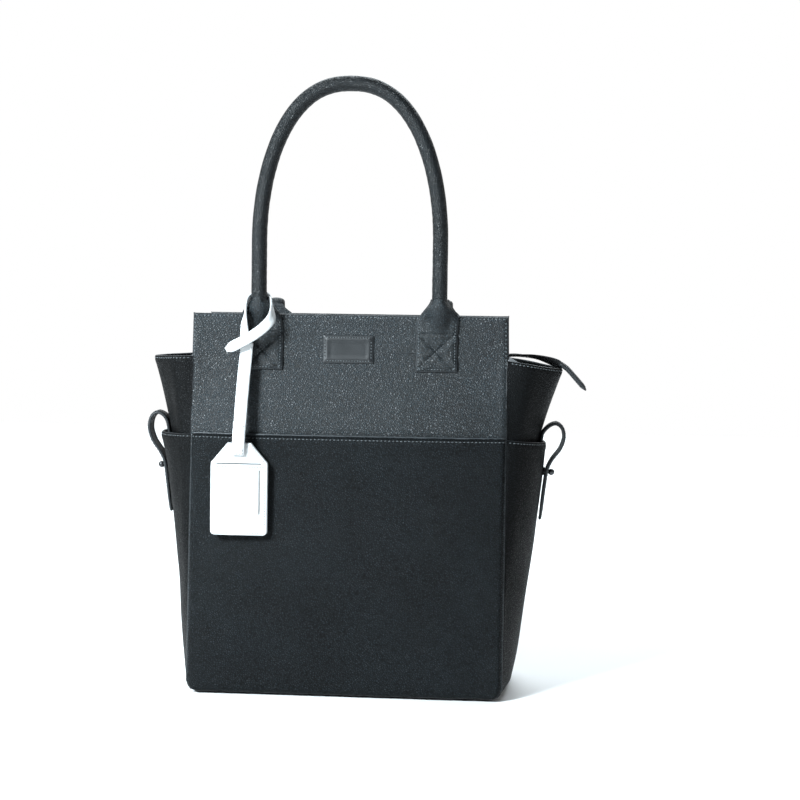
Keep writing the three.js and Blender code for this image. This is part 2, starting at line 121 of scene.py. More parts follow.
def samples(length, pitch=8, ends=(True, True)):
    """Distances from 0 to length, close together near each end that has a seam."""
    marks = {0.0, length}
    margin = FINE[-1]
    if ends[0]:
        marks |= {d for d in FINE if d < length / 2}
    if ends[1]:
        marks |= {length - d for d in FINE if d < length / 2}
    low = margin if ends[0] else 0
    high = length - margin if ends[1] else length
    count = max(int((high - low) / pitch), 1)
    marks |= {lerp(low, high, i / count) for i in range(count + 1) if low < high}
    return sorted(round(m, 4) for m in marks)


def catmull(points, t):
    """A smooth curve through the points, at t from 0 to 1."""
    last = len(points) - 1
    at = min(max(t, 0), 1) * last
    i = min(int(at), last - 1)
    f = at - i
    p1, p2 = Vector(points[i]), Vector(points[i + 1])
    p0 = Vector(points[i - 1]) if i else p1 * 2 - p2
    p3 = Vector(points[i + 2]) if i + 2 <= last else p2 * 2 - p1
    return 0.5 * (2 * p1 + (p2 - p0) * f + (2 * p0 - 5 * p1 + 4 * p2 - p3) * f**2
                  + (3 * p1 - p0 - 3 * p2 + p3) * f**3)


def in_side_view(points, t):
    """A smooth curve in the bag's middle plane through [x, z] points."""
    x, z = catmull([(x, z, 0) for x, z in points], t).xy
    return Vector((x, 0, z))


def direction(line, share, step):
    """The direction of line(share), from the points step before and after."""
    return (line(min(share + step, 1)) - line(max(share - step, 0))).normalized()


# ---- materials


class Nodes:
    """Builds a Principled material's node tree."""

    def __init__(self, name, **sockets):
        self.material = bpy.data.materials.new(name)
        self.material.use_nodes = True
        self.tree = self.material.node_tree
        self.shader = self.tree.nodes["Principled BSDF"]
        for key, value in sockets.items():
            self.shader.inputs[key.replace("_", " ")].default_value = value
        self.place = self.node("ShaderNodeTexCoord").outputs["Object"]

    def node(self, kind, inputs=None, **settings):
        made = self.tree.nodes.new(kind)
        for key, value in settings.items():
            setattr(made, key, value)
        for key, value in (inputs or {}).items():
            self.feed(value, made.inputs[key])
        return made

    def feed(self, value, socket):
        """Links an output to the socket, or sets a plain value on it."""
        if isinstance(value, bpy.types.NodeSocket):
            self.tree.links.new(value, socket)
        else:
            socket.default_value = value

    def noise(self, scale, detail=2):
        wanted = {"Vector": self.place, "Scale": scale, "Detail": detail}
        return self.node("ShaderNodeTexNoise", wanted).outputs["Fac"]

    def maths(self, operation, a, b=0.0, c=0.0):
        return self.node("ShaderNodeMath", {0: a, 1: b, 2: c}, operation=operation).outputs[0]

    def ramp(self, value, low, high):
        """value mapped from low..high to 0..1, and held there."""
        wanted = {"Value": value, "From Min": low, "From Max": high}
        return self.node("ShaderNodeMapRange", wanted).outputs["Result"]

    def mix(self, factor, a, b):
        made = self.node("ShaderNodeMix", data_type="RGBA")
        for index, value in ((0, factor), (6, a), (7, b)):  # the RGBA sockets of the mix node
            self.feed(value, made.inputs[index])
        return made.outputs[2]

    def attribute(self, name):
        return self.node("ShaderNodeAttribute", attribute_name=name).outputs["Fac"]

    def put(self, value, socket):
        self.tree.links.new(value, self.shader.inputs[socket])

    def relief(self, height, strength, distance):
        wanted = {"Height": height, "Strength": strength, "Distance": distance}
        self.put(self.node("ShaderNodeBump", wanted).outputs["Normal"], "Normal")


def rgb(r, g, b):
    return (r, g, b, 1)


PEBBLE_WANDER = 0.0016  # how far the creases stray from straight lines, in metres
PEBBLE_RISE = (0.02, 0.4)  # distances from a crease over which a pebble rises
PEBBLE_HEIGHT = 0.00034


def pebbled_leather(name, dark, light, worn, rough, grain, shine):
    """Leather with a raised pebble grain, its edges rubbed paler. Its colour is dark in the grain's
    creases: partly the grain's own tone, partly painted shade.
    """
    n = Nodes(name, **{"Specular IOR Level": shine})
    drift = n.node("ShaderNodeTexNoise", {"Vector": n.place, "Scale": 260, "Detail": 1})
    spread = n.node("ShaderNodeVectorMath", {0: drift.outputs["Color"], 1: (PEBBLE_WANDER,) * 3},
                    operation="MULTIPLY")
    bent = n.node("ShaderNodeVectorMath", {0: n.place, 1: spread.outputs[0]},
                  operation="ADD").outputs[0]
    cells = n.node("ShaderNodeTexVoronoi", {"Vector": bent, "Scale": grain},
                   feature="DISTANCE_TO_EDGE")
    pebble = n.ramp(cells.outputs["Distance"], *PEBBLE_RISE)
    patches = n.noise(14, 3)
    fine = n.noise(2600, 2)
    # darkest in the creases between pebbles: partly the grain's own tone, partly painted shade
    grain_tone_and_crease_shade = n.ramp(n.maths("ADD", n.maths("MULTIPLY", pebble, 0.8),
                          n.maths("MULTIPLY", patches, 0.4)), 0.15, 1.05)
    colour = n.mix(grain_tone_and_crease_shade, dark, light)
    rub = n.maths("MULTIPLY", n.attribute("edge"), n.ramp(n.noise(90, 3), 0.35, 0.7))
    n.put(n.mix(n.maths("MULTIPLY", rub, 0.55), colour, worn), "Base Color")
    dull = n.maths("MULTIPLY_ADD", pebble, -0.3, rough + 0.1)
    n.put(n.maths("MULTIPLY_ADD", n.noise(30, 2), 0.12, dull), "Roughness")
    n.relief(n.maths("MULTIPLY_ADD", fine, 0.1, pebble), 1.0, PEBBLE_HEIGHT)
    return n.material


def smooth_leather(name, colour, shade, grime):
    """Smooth finished leather: a tight pore grain, a soft mottle and slightly dirtied edges."""
    n = Nodes(name)
    pores = n.node("ShaderNodeTexVoronoi", {"Vector": n.place, "Scale": 1500},
                   feature="F1").outputs["Distance"]
    mottle = n.ramp(n.noise(60, 4), 0.3, 0.75)
    base = n.mix(mottle, colour, shade)
    n.put(n.mix(n.maths("MULTIPLY", n.attribute("edge"), 0.5), base, grime), "Base Color")
    n.put(n.maths("MULTIPLY_ADD", n.noise(120, 2), 0.15, 0.42), "Roughness")
    n.relief(n.maths("ADD", pores, n.noise(400, 3)), 0.16, 0.00025)
    return n.material


def woven(name, dark, light, scale, relief=0.5):
    """A twill or tape: fine diagonal ribs crossed by thread, with lint."""
    n = Nodes(name, Roughness=0.9)
    turned = n.node("ShaderNodeMapping",
                    {"Vector": n.place, "Rotation": (0.3, 0.5, 0.785)}).outputs[0]
    ribs = n.node("ShaderNodeTexWave",
                  {"Vector": turned, "Scale": scale, "Distortion": 0.6, "Detail": 1},
                  wave_type="BANDS", bands_direction="X").outputs["Fac"]
    threads = n.node("ShaderNodeTexWave",
                     {"Vector": turned, "Scale": scale * 1.3, "Distortion": 0.4, "Detail": 1},
                     wave_type="BANDS", bands_direction="Z").outputs["Fac"]
    weave = n.maths("ADD", n.maths("MULTIPLY", ribs, 0.6), n.maths("MULTIPLY", threads, 0.4))
    lint = n.noise(300, 4)
    n.put(n.mix(n.maths("MULTIPLY_ADD", lint, 0.4, n.maths("MULTIPLY", weave, 0.6)), dark, light),
          "Base Color")
    n.relief(weave, relief, 0.0002)
    return n.material


def brushed_metal(name, dark, light, roughness):
    n = Nodes(name, Metallic=1.0)
    n.put(n.mix(n.ramp(n.noise(220, 4), 0.35, 0.7), dark, light), "Base Color")
    n.put(n.maths("MULTIPLY_ADD", n.noise(900, 2), 0.2, roughness), "Roughness")
    n.relief(n.noise(1800, 2), 0.05, 0.0001)
    return n.material


def fibrous(name, dark, light, roughness, grain, detail, relief):
    """Something made of fine fibres: waxed thread, pressed board or paper."""
    n = Nodes(name, Roughness=roughness)
    fibres = n.noise(grain, detail)
    n.put(n.mix(n.ramp(fibres, 0.3, 0.7), dark, light), "Base Color")
    n.relief(fibres, relief, 0.0001)
    return n.material


THREAD_LOOK = (0.5, 3500, 2, 0.3)
BOARD_LOOK = (0.85, 500, 5, 0.2)

# Copies of one black leather. Each is near black in its grain's creases: partly the grain's own
# tone, partly painted shade.
LEATHER_BLACK = pebbled_leather("black_panel_leather", rgb(0.0002, 0.0003, 0.0004),
                                rgb(0.024, 0.034, 0.041),
                                rgb(0.05, 0.058, 0.065), 0.43, 520, 0.33)
# The pocket's copy of the black leather is darker than the panel's: painted shade.
LEATHER_POCKET_SHADED = pebbled_leather("black_pocket_leather_painted_shade", rgb(0.0002, 0.0003, 0.0004),
                                 rgb(0.0105, 0.0145, 0.0175),
                                 rgb(0.03, 0.035, 0.04), 0.5, 520, 0.12)
# The copy on the ends, the base and the side straps is darker still: painted shade.
LEATHER_SHADED = pebbled_leather("black_leather_painted_shade", rgb(0.0001, 0.00015, 0.0002),
                               rgb(0.0032, 0.0043, 0.0052),
                               rgb(0.02, 0.023, 0.026), 0.54, 480, 0.11)
LEATHER_ROLLED = pebbled_leather("black_handle_leather", rgb(0.0003, 0.0005, 0.0006),
                                 rgb(0.012, 0.0165, 0.02),
                                 rgb(0.05, 0.056, 0.062), 0.4, 560, 0.28)
LEATHER_LABEL = smooth_leather("black_label_leather", rgb(0.004, 0.0055, 0.007),
                               rgb(0.007, 0.009, 0.011),
                               rgb(0.03, 0.036, 0.04))
# The binding is paler than the pocket leather it edges: a painted highlight along the lip.
LEATHER_LIP_HIGHLIGHT = smooth_leather("black_binding_leather_painted_highlight", rgb(0.022, 0.027, 0.031),
                             rgb(0.034, 0.04, 0.045),
                             rgb(0.05, 0.058, 0.064))
EDGE_PAINT = smooth_leather("black_edge_paint", rgb(0.006, 0.007, 0.008), rgb(0.01, 0.0115, 0.013),
                            rgb(0.03, 0.033, 0.036))
EDGE_PAINT.node_tree.nodes["Principled BSDF"].inputs["Specular IOR Level"].default_value = 0.3
WHITE = smooth_leather("white_smooth_leather", rgb(0.6, 0.615, 0.62), rgb(0.55, 0.565, 0.575),
                       rgb(0.4, 0.41, 0.42))
# Near-black and grey discs laid on the leather at the needle holes: painted shade in the holes and
# stitch grooves.
NEEDLE_HOLE_SHADE = fibrous("stitch_hole_shade", rgb(0.0006, 0.0006, 0.0007), rgb(0.0012, 0.0012, 0.0014),
                      *THREAD_LOOK)
WHITE_HOLE_SHADE = fibrous("white_stitch_hole_shade", rgb(0.2, 0.2, 0.2), rgb(0.3, 0.3, 0.3), *THREAD_LOOK)
# The black thread is coloured grey: its own dark tone with a painted highlight.
THREAD = fibrous("black_thread_painted_highlight", rgb(0.04, 0.048, 0.053), rgb(0.12, 0.137, 0.148), *THREAD_LOOK)
WHITE_THREAD = fibrous("white_thread", rgb(0.5, 0.51, 0.52), rgb(0.66, 0.67, 0.68), *THREAD_LOOK)
LINING = woven("grey_cotton_twill", rgb(0.13, 0.135, 0.14), rgb(0.3, 0.305, 0.315), 900)
TAPE = woven("black_zip_tape", rgb(0.006, 0.006, 0.007), rgb(0.03, 0.031, 0.033), 1400, 0.7)
GUNMETAL = brushed_metal("gunmetal", rgb(0.045, 0.045, 0.048), rgb(0.11, 0.11, 0.115), 0.24)
BOARD = fibrous("stiffener_board", rgb(0.14, 0.13, 0.115), rgb(0.24, 0.225, 0.2), *BOARD_LOOK)
CARD = fibrous("paper_card", rgb(0.7, 0.69, 0.65), rgb(0.8, 0.79, 0.76), *BOARD_LOOK)

SLOTS = {
    **dict.fromkeys((LEATHER_BLACK, LEATHER_POCKET_SHADED, LEATHER_SHADED, LEATHER_ROLLED, LEATHER_LABEL,
                     LEATHER_LIP_HIGHLIGHT, EDGE_PAINT, THREAD), "leather"),
    WHITE: "white_leather", WHITE_THREAD: "white_leather", LINING: "lining", TAPE: "suede",
    GUNMETAL: "metal", BOARD: "board", CARD: "card",
}


# ---- mesh tools


def placed(name, mesh, slot):
    """An object in the scene that holds the mesh, with its slot."""
    piece = bpy.data.objects.new(name, mesh)
    bpy.context.scene.collection.objects.link(piece)
    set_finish(piece, slot)
    return piece


def make(name, verts, faces, material, rim_faces=(), rim_material=None, edge=None):
    """A smooth-shaded mesh object from points in millimetres."""
    mesh = bpy.data.meshes.new(name)
    mesh.from_pydata([v * MM for v in verts], [], [*faces, *rim_faces])
    mesh.materials.append(material)
    if rim_material:
        mesh.materials.append(rim_material)
        for polygon in mesh.polygons[len(faces):]:
            polygon.material_index = 1
    mesh.polygons.foreach_set("use_smooth", [True] * len(mesh.polygons))
    if edge:
        mesh.attributes.new("edge", "FLOAT", "POINT").data.foreach_set("value", edge)
    mesh.update()
    return placed(name, mesh, SLOTS[material])


def settle(piece, body, *replaced):
    """The piece rides on the body when that is a name, and stands for those CAD nodes, which it
    hides. Given a tuple of two bodies and two points instead, it rides on neither and keeps its
    place in the world.
    """
    if isinstance(body, str):
        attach(piece, body)
    else:
        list(body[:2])
        [c * MM for c in body[2]]
        [c * MM for c in body[3]]
        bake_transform(piece)
    if replaced:
        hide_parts(*replaced)
    return piece


def grid_normals(grid, closed):
    rows, columns = len(grid), len(grid[0])
    normals = []
    for j in range(rows):
        row = []
        for i in range(columns):
            if closed:
                along = grid[j][(i + 1) % columns] - grid[j][i - 1]
            else:
                along = grid[j][min(i + 1, columns - 1)] - grid[j][max(i - 1, 0)]
            across = grid[min(j + 1, rows - 1)][i] - grid[max(j - 1, 0)][i]
            row.append(along.cross(across).normalized())
        normals.append(row)
    return normals


RIM_STEPS = 4


def leaf(name, outer, inner, material, rim_material=None, closed=False, roundness=1.0):
    """A skin round two grids of points, with rounded edges. Closed ones join up along u."""
    rows, columns = len(outer), len(outer[0])
    size = rows * columns
    verts = [p for row in outer for p in row] + [p for row in inner for p in row]
    edge = [0.0] * (2 * size)
    faces, rims = [], []
    spans = range(columns if closed else columns - 1)
    for j in range(rows - 1):
        for i in spans:
            a, b = j * columns + i, j * columns + (i + 1) % columns
            c, d = b + columns, a + columns
            faces.append((a, b, c, d))
            faces.append((a + size, d + size, c + size, b + size))
    if closed:
        loops = [list(range(columns)),
                 [(rows - 1) * columns + i for i in range(columns - 1, -1, -1)]]
    else:
        loop = list(range(columns))
        loop += [j * columns + columns - 1 for j in range(1, rows)]
        loop += [(rows - 1) * columns + i for i in range(columns - 2, -1, -1)]
        loop += [j * columns for j in range(rows - 2, 0, -1)]
        loops = [loop]
    for loop in loops:
        count = len(loop)
        rings = [loop]
        for step in range(1, RIM_STEPS):
            angle = math.pi * step / RIM_STEPS
            ring = []
            for k, index in enumerate(loop):
                p, q = verts[index], verts[index + size]
                tangent = (verts[loop[(k + 1) % count]] - verts[loop[k - 1]]).normalized()
                outward = tangent.cross((p - q).normalized())
                radius = min((p - q).length / 2, roundness)
                ring.append(len(verts))
                across = p.lerp(q, (1 - math.cos(angle)) / 2)
                verts.append(across + outward * radius * math.sin(angle))
                edge.append(1.0)
            rings.append(ring)
        rings.append([index + size for index in loop])
        for index in loop:
            edge[index] = edge[index + size] = 0.7
        for first, second in zip(rings, rings[1:]):
            for k in range(count):
                m = (k + 1) % count
                rims.append((first[m], first[k], second[k], second[m]))
    return make(name, verts, faces, material, rims, rim_material, edge)


def two_faced(name, outer, inner, us, vs, material=None, **look):
    """A leaf whose two faces are given by their own functions."""
    grids = [[[point(u, v) for u in us] for v in vs] for point in (outer, inner)]
    return leaf(name, *grids, material or LEATHER_BLACK, EDGE_PAINT, **look)


def skin(name, point, us, vs, thickness, material, rim_material=None, closed=False, roundness=1.0):
    """A sheet with its outer face at point(u, v), looking along du x dv, thickness behind it."""
    outer = [[point(u, v) for u in us] for v in vs]
    normals = grid_normals(outer, closed)
    inner = [[p - n * thickness for p, n in zip(*rows)] for rows in zip(outer, normals)]
    return leaf(name, outer, inner, material, rim_material, closed, roundness)


def join(name, pieces):
    """One object from several."""
    bm = bmesh.new()
    materials = []
    for piece in pieces:
        offset = len(bm.faces)
        bm.from_mesh(piece.data)
        bm.faces.ensure_lookup_table()
        for face in bm.faces[offset:]:
            material = piece.data.materials[face.material_index]
            if material not in materials:
                materials.append(material)
            face.material_index = materials.index(material)
    mesh = bpy.data.meshes.new(name)
    bm.to_mesh(mesh)
    bm.free()
    for material in materials:
        mesh.materials.append(material)
    slot = pieces[0]["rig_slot"]
    for piece in pieces:
        bpy.data.objects.remove(piece)
    return placed(name, mesh, slot)


def sweep(name, path, radius, sides, material, up=Vector((0, 1, 0))):
    """A closed tube along a path. radius(i, angle) is its radius at that point and side."""
    verts, faces, edge = [], [], []
    count = len(path)
    for i, at in enumerate(path):
        tangent = (path[min(i + 1, count - 1)] - path[max(i - 1, 0)]).normalized()
        side = tangent.cross(up).normalized()
        top = side.cross(tangent)
        for k in range(sides):
            angle = 2 * math.pi * k / sides
            r = radius(i, angle)
            verts.append(at + side * r * math.cos(angle) + top * r * math.sin(angle))
            edge.append(0.0)
    for i in range(count - 1):
        for k in range(sides):
            a, b = i * sides + k, i * sides + (k + 1) % sides
            faces.append((a, b, b + sides, a + sides))
    faces.append(tuple(range(sides - 1, -1, -1)))
    faces.append(tuple((count - 1) * sides + k for k in range(sides)))
    return make(name, verts, faces, material, edge=edge)


def turned(name, profile, place, material, sides=32):
    """A turned solid. Its profile runs from axis to axis as [radius, height]."""
    verts, faces = [place @ Vector((0, 0, profile[0][1]))], []
    for radius, height in profile[1:-1]:
        for k in range(sides):
            angle = 2 * math.pi * k / sides
            x, y = radius * math.cos(angle), radius * math.sin(angle)
            verts.append(place @ Vector((x, y, height)))
    verts.append(place @ Vector((0, 0, profile[-1][1])))
    rings = len(profile) - 2
    for k in range(sides):
        m = (k + 1) % sides
        faces.append((0, 1 + m, 1 + k))
        for r in range(rings - 1):
            a, b = 1 + r * sides + k, 1 + r * sides + m
            faces.append((a, b, b + sides, a + sides))
        faces.append((len(verts) - 1, 1 + (rings - 1) * sides + k, 1 + (rings - 1) * sides + m))
    return make(name, verts, faces, material)


def baked(piece):
    """The mesh that a curve, or a mesh with modifiers, comes to."""
    bpy.context.view_layer.update()
    graph = bpy.context.evaluated_depsgraph_get()
    return bpy.data.meshes.new_from_object(piece.evaluated_get(graph))


def flat_plate(name, outlines, low, high, bevel, place, material):
    """A plate with rounded edges. The first outline is its own, and the others are holes."""
    curve = bpy.data.curves.new(name, "CURVE")
    curve.dimensions, curve.fill_mode = "2D", "BOTH"
    curve.extrude = max((high - low) / 2 - bevel, 0.01) * MM
    curve.bevel_depth, curve.bevel_resolution, curve.offset = bevel * MM, 2, -bevel * MM
    for outline in outlines:
        spline = curve.splines.new("POLY")
        spline.points.add(len(outline) - 1)
        spline.use_cyclic_u = True
        for point, (x, y) in zip(spline.points, outline):
            point.co = (x * MM, y * MM, 0, 1)
    helper = bpy.data.objects.new(name, curve)
    bpy.context.scene.collection.objects.link(helper)
    mesh = baked(helper)
    bpy.data.objects.remove(helper)
    mesh.transform(Matrix.Translation((0, 0, (low + high) / 2 * MM)))
    scaled = place.copy()
    scaled.translation *= MM
    mesh.transform(scaled)
    bm = bmesh.new()
    bm.from_mesh(mesh)
    bmesh.ops.remove_doubles(bm, verts=bm.verts, dist=1e-6)
    bmesh.ops.recalc_face_normals(bm, faces=bm.faces)
    bm.to_mesh(mesh)
    bm.free()
    mesh.materials.clear()
    mesh.materials.append(material)
    mesh.name = name
    return placed(name, mesh, SLOTS[material])


def rounded(width, height, radius, steps=5):
    """A rounded rectangle's outline about the origin."""
    points = []
    for cx, cy, start in ((1, 1, 0), (-1, 1, 90), (-1, -1, 180), (1, -1, 270)):
        for k in range(steps + 1):
            angle = math.radians(start + 90 * k / steps)
            points.append((cx * (width / 2 - radius) + radius * math.cos(angle),
                           cy * (height / 2 - radius) + radius * math.sin(angle)))
    return points


# ---- stitches

STITCH = 0.55  # half the width of a stitch, and its height
STITCH_LEAN = (0.04, 0.16)  # how far a stitch turns out of its row's line
STITCH_BODY = ((-0.75, 0.72), (0, 1), (0.75, 0.72))  # where its rings are along it, and their size
NEEDLE = (0.72, 0.62)  # half the length and width of the dark disc at a needle hole, which is painted shade
FACETS = 6  # sides of a stitch and of the dark disc of painted shade at a needle hole
TURNS = [math.radians(360 // FACETS * s) for s in range(FACETS)]


def on_surface(point, u, v, step=1.0):
    """The point and the surface's outward normal there."""
    along = point(u + step, v) - point(u - step, v)
    across = point(u, v + step) - point(u, v - step)
    return point(u, v), along.cross(across).normalized()


def level_row(point, us, v, step=1.0):
    """A row of stitches at one v, as (point, normal) pairs."""
    return [on_surface(point, u, v, step) for u in us]


def upright_row(point, u, vs, step=1.0):
    """A row of stitches at one u."""
    return [on_surface(point, u, v, step) for v in vs]


def sheet_on_bag(name, point, us, vs, material, node):
    """A sheet of the bag's own leather with painted edges."""
    settle(skin(name, point, us, vs, LEATHER, material, EDGE_PAINT), "bag", node)


def stitch_mesh(rows, pitch=STITCH_PITCH):
    """Raised stitches along rows of (point, normal) pairs, and dark discs of painted shade at the
    needle holes between them.
    """
    verts, faces, holes = [], [], []
    for row in rows:
        lengths = [0.0]
        for (p, _), (q, _) in zip(row, row[1:]):
            lengths.append(lengths[-1] + (q - p).length)
        count = max(int(lengths[-1] / pitch), 1)
        gap = lengths[-1] / count
        k = 0
        for index in range(count):
            at = gap * (index + 0.5)
            while lengths[k + 1] < at:
                k += 1
            f = (at - lengths[k]) / max(lengths[k + 1] - lengths[k], 1e-9)
            (p, pn), (q, qn) = row[k], row[k + 1]
            centre, normal = p.lerp(q, f), pn.lerp(qn, f).normalized()
            tangent = (q - p).normalized()
            side = normal.cross(tangent).normalized()
            lean = rng.uniform(*STITCH_LEAN)
            tangent = (tangent + side * lean).normalized()
            side = normal.cross(tangent).normalized()
            half = gap * 0.31 * rng.uniform(0.92, 1.05)
            start = len(verts)
            verts.append(centre - tangent * half - normal * 0.25)
            for place, scale in STITCH_BODY:
                middle = centre + tangent * half * place
                for a in TURNS:
                    verts.append(middle + side * STITCH * scale * math.cos(a)
                                 + normal * STITCH * (scale * math.sin(a) + scale - 1))
            verts.append(centre + tangent * half - normal * 0.25)
            first, last = start + 1, start + 1 + 2 * FACETS
            for s in range(FACETS):
                t = (s + 1) % FACETS
                faces.append((start, first + t, first + s))
                for a in (first, first + FACETS):
                    faces.append((a + s, a + t, a + FACETS + t, a + FACETS + s))
                faces.append((last + FACETS, last + s, last + t))
            # a flat dark disc just above the leather at each needle hole: painted shade
            hole, middle = len(verts), centre + tangent * gap / 2
            verts += [middle + normal * 0.16, middle - normal * 0.3]
            for s, a in enumerate(TURNS):
                verts.append(middle + tangent * NEEDLE[0] * math.cos(a)
                             + side * NEEDLE[1] * math.sin(a) + normal * 0.08)
                t = (s + 1) % FACETS
                holes.append((hole, hole + 2 + t, hole + 2 + s))
                holes.append((hole + 1, hole + 2 + s, hole + 2 + t))
    return verts, faces, holes


def sew(name, rows, body, material=THREAD, pitch=STITCH_PITCH):
    verts, faces, holes = stitch_mesh(rows, pitch)
    # the dark discs at the needle holes are painted shade
    dark = NEEDLE_HOLE_SHADE if material == THREAD else WHITE_HOLE_SHADE
    return settle(make(name, verts, faces, material, holes, dark), body)


def seam(d):
    """How far the leather lies below its free surface at distance d from a stitched edge."""
    rounding = 1.1 * bump(d, 0, 0.9)
    groove = 0.45 * bump(d, SEAM_INSET, 0.8)
    puff = 0.5 * bump(d, 5.5, 3)
    return puff - rounding - groove


def pucker(along, d, reach=7.0):
    """Small gathers that the stitches pull into the leather."""
    drift = 3 * noise.noise(Vector((along / 23, d / 9, 3)))
    return 0.28 * math.exp(-d / reach) * math.sin(along / 2.1 + drift)


# ---- the bag's form

CORNER = 12
BASE_ROUND = 6


def half_width(z):
    top = 0.8 * smooth(330, TOP, z)
    foot = CORNER - math.sqrt(CORNER**2 - (CORNER - z) ** 2) if z < CORNER else 0
    return HALF_WIDTH + 0.6 - top - foot


def half_depth(z):
    flat = lerp(BASE_HALF_DEPTH, TOP_HALF_DEPTH, z / TOP)
    foot = BASE_ROUND - math.sqrt(BASE_ROUND**2 - (BASE_ROUND - z) ** 2) if z < BASE_ROUND else 0
    return flat - foot


def facing_side(side, x, out, z):
    """A point on the front or back, out millimetres from the bag's middle plane."""
    return Vector((-side * x, side * out, z))


def face_out(side, x, z):
    """Outer face of the main panel."""
    d = min(half_width(z) - abs(x), TOP - z)
    along = z if half_width(z) - abs(x) < TOP - z else x
    free = wave(x, 40 * side, z, 95, 1.3) + wave(x, 9 * side, z, 34, 0.35)
    across = 1 - min(abs(x) / HALF_WIDTH, 1) ** 4
    lean = across * (6.2 * smooth(150, 256, z) * (1 - smooth(256, 350, z)) - 1.8 * bump(z, 340, 26))
    sag = lean - 2.0 * smooth(250, 330, z) * (1 - smooth(330, 380, z)) * bump(abs(x), 158, 40)
    pulled = pucker(along, d) if z < GUSSET_TOP or TOP - z < 12 else 0
    return half_depth(z) + free * smooth(0, 20, d) + seam(d) + pulled + sag


def pocket_gap(x, z):
    across = 1 - abs(x / HALF_WIDTH) ** 3
    return 0.4 + 7.3 * max(across, 0) * max(z / POCKET_TOP, 0) ** 0.7


def pocket_out(side, x, z):
    """Outer face of the slip pocket on that side."""
    edge, hem = half_width(z) - abs(x), POCKET_TOP + SLIP_RISE - z
    d = min(edge, hem)
    free = wave(x, 70 * side, z, 120, 2.0) + wave(x, 33 * side, z, 40, 0.5)
    middle = 1 - (x / HALF_WIDTH) ** 2
    belly = 1.5 * bump(z, 110, 80) * middle + 2.2 * smooth(150, 262, z) * middle
    gathers = pucker(z if edge < hem else x, d)
    wrap = 3.4 * bump(edge, 0, 2.6)
    folded = 0.9 * bump(hem, 1.2, 1.0) - 1.1 * bump(hem, 3.0, 0.9) + 0.5 * bump(hem, 7, 3)
    relief = lerp(folded, seam(edge), smooth(6, 0, edge))
    cloth = half_depth(z) + pocket_gap(x, z)
    return cloth + LEATHER + free * smooth(0, 25, d) + belly + relief + gathers - wrap


# How far each gusset bulges at the pocket's mouth and at its own top, how far its hem (droop) and
# the pocket's (sag) hang down, how far the pocket is drawn in, and the height of its strap's arch.
SIDES = {
    -1: {"name": "left", "mouth": 31, "top": 50, "droop": 2, "sag": 1, "tuck": 4.5, "strap": 276.4},
    1: {"name": "right", "mouth": 34, "top": 60, "droop": 9, "sag": 5, "tuck": 0, "strap": 272.4},
}


def gusset_bulge(z, side):
    mouth, top = SIDES[side]["mouth"], SIDES[side]["top"]
    if z < POCKET_TOP:
        return lerp(4, mouth, (max(z, 0) / POCKET_TOP) ** 2)
    return lerp(mouth, top, ((z - POCKET_TOP) / (GUSSET_TOP - POCKET_TOP)) ** 1.1)


def pocket_bulge(z, side):
    """The pocket's belly. The left one is drawn in below its mouth."""
    tuck = SIDES[side]["tuck"] * smooth(POCKET_TOP + 4, POCKET_TOP - 45, z) * smooth(20, 120, z)
    return 2.8 + lerp(4.5, 39.5, (max(z, 0) / POCKET_TOP) ** 0.8) - tuck


def arc(side, u, z, seam_x, depth, bulge):
    """A point on the arc from the front seam (u 0) to the back seam (u 1), bulging outwards."""
    half_angle = 2 * math.atan(bulge / depth)
    radius = depth / math.sin(half_angle)
    angle = lerp(-half_angle, half_angle, u if side > 0 else 1 - u)
    out = seam_x + radius * (math.cos(angle) - math.cos(half_angle))
    return Vector((side * out, radius * math.sin(angle), z))


def end_point(side, u, z, depth_inset, bulge, lift):
    """A point on an end's leather. u runs round the end in millimetres, whatever the height."""
    share = u / END_SPAN
    depth = half_depth(z) - depth_inset
    at = arc(side, share, z, half_width(z) - 0.8, depth, bulge)
    forward = Vector((0, math.copysign(1, at.y), 0))
    normal = Vector((side, 0, 0)).lerp(forward, (abs(at.y) / depth) ** 3 * 0.6)
    return at + normal.normalized() * lift


END_SPAN = 200


def gusset_point(side):
    info = SIDES[side]

    def point(u, v):
        share = min(max(u / END_SPAN, 0), 1)
        top = GUSSET_TOP - info["droop"] * math.sin(math.pi * share)
        z = lerp(2.5, top, v / GUSSET_TOP)
        edge = min(u, END_SPAN - u)
        hem = top - z
        folds = 2.6 * bump(edge, 22, 14) * smooth(120, 300, z)
        folds -= 1.6 * bump(edge, 52, 16) * smooth(200, 330, z)
        folds += wave(u, 5 * side, z, 38, 1.0)
        lift = folds * smooth(0, 12, edge) + seam(hem) * 0.8 + pucker(z, edge, 9) * 1.6
        return end_point(side, u, z, 1.6, gusset_bulge(z, side), lift)

    return point


def side_pocket_point(side):
    def point(u, v):
        share = min(max(u / END_SPAN, 0), 1)
        sag = SIDES[side]["sag"] * math.sin(math.pi * share) * smooth(120, POCKET_TOP, v)
        z = v - sag
        edge, hem = min(u, END_SPAN - u), POCKET_TOP - v
        folds = wave(u, 61 * side, z, 60, 1.4) + 1.2 * bump(edge, 16, 10) * smooth(60, 230, z)
        gathers = pucker(z if edge < hem else u, min(edge, hem))
        lift = folds * smooth(0, 14, edge) * smooth(0, 30, z)
        lift += seam(min(edge, hem)) * 0.9
        lift += gathers
        return end_point(side, u, z, 0.4, pocket_bulge(z, side), lift)

    return point


# ---- body of the bag


def face_name(side):
    return "front" if side < 0 else "back"


FACING = (304, 36)  # width and depth of the leather facing inside the mouth


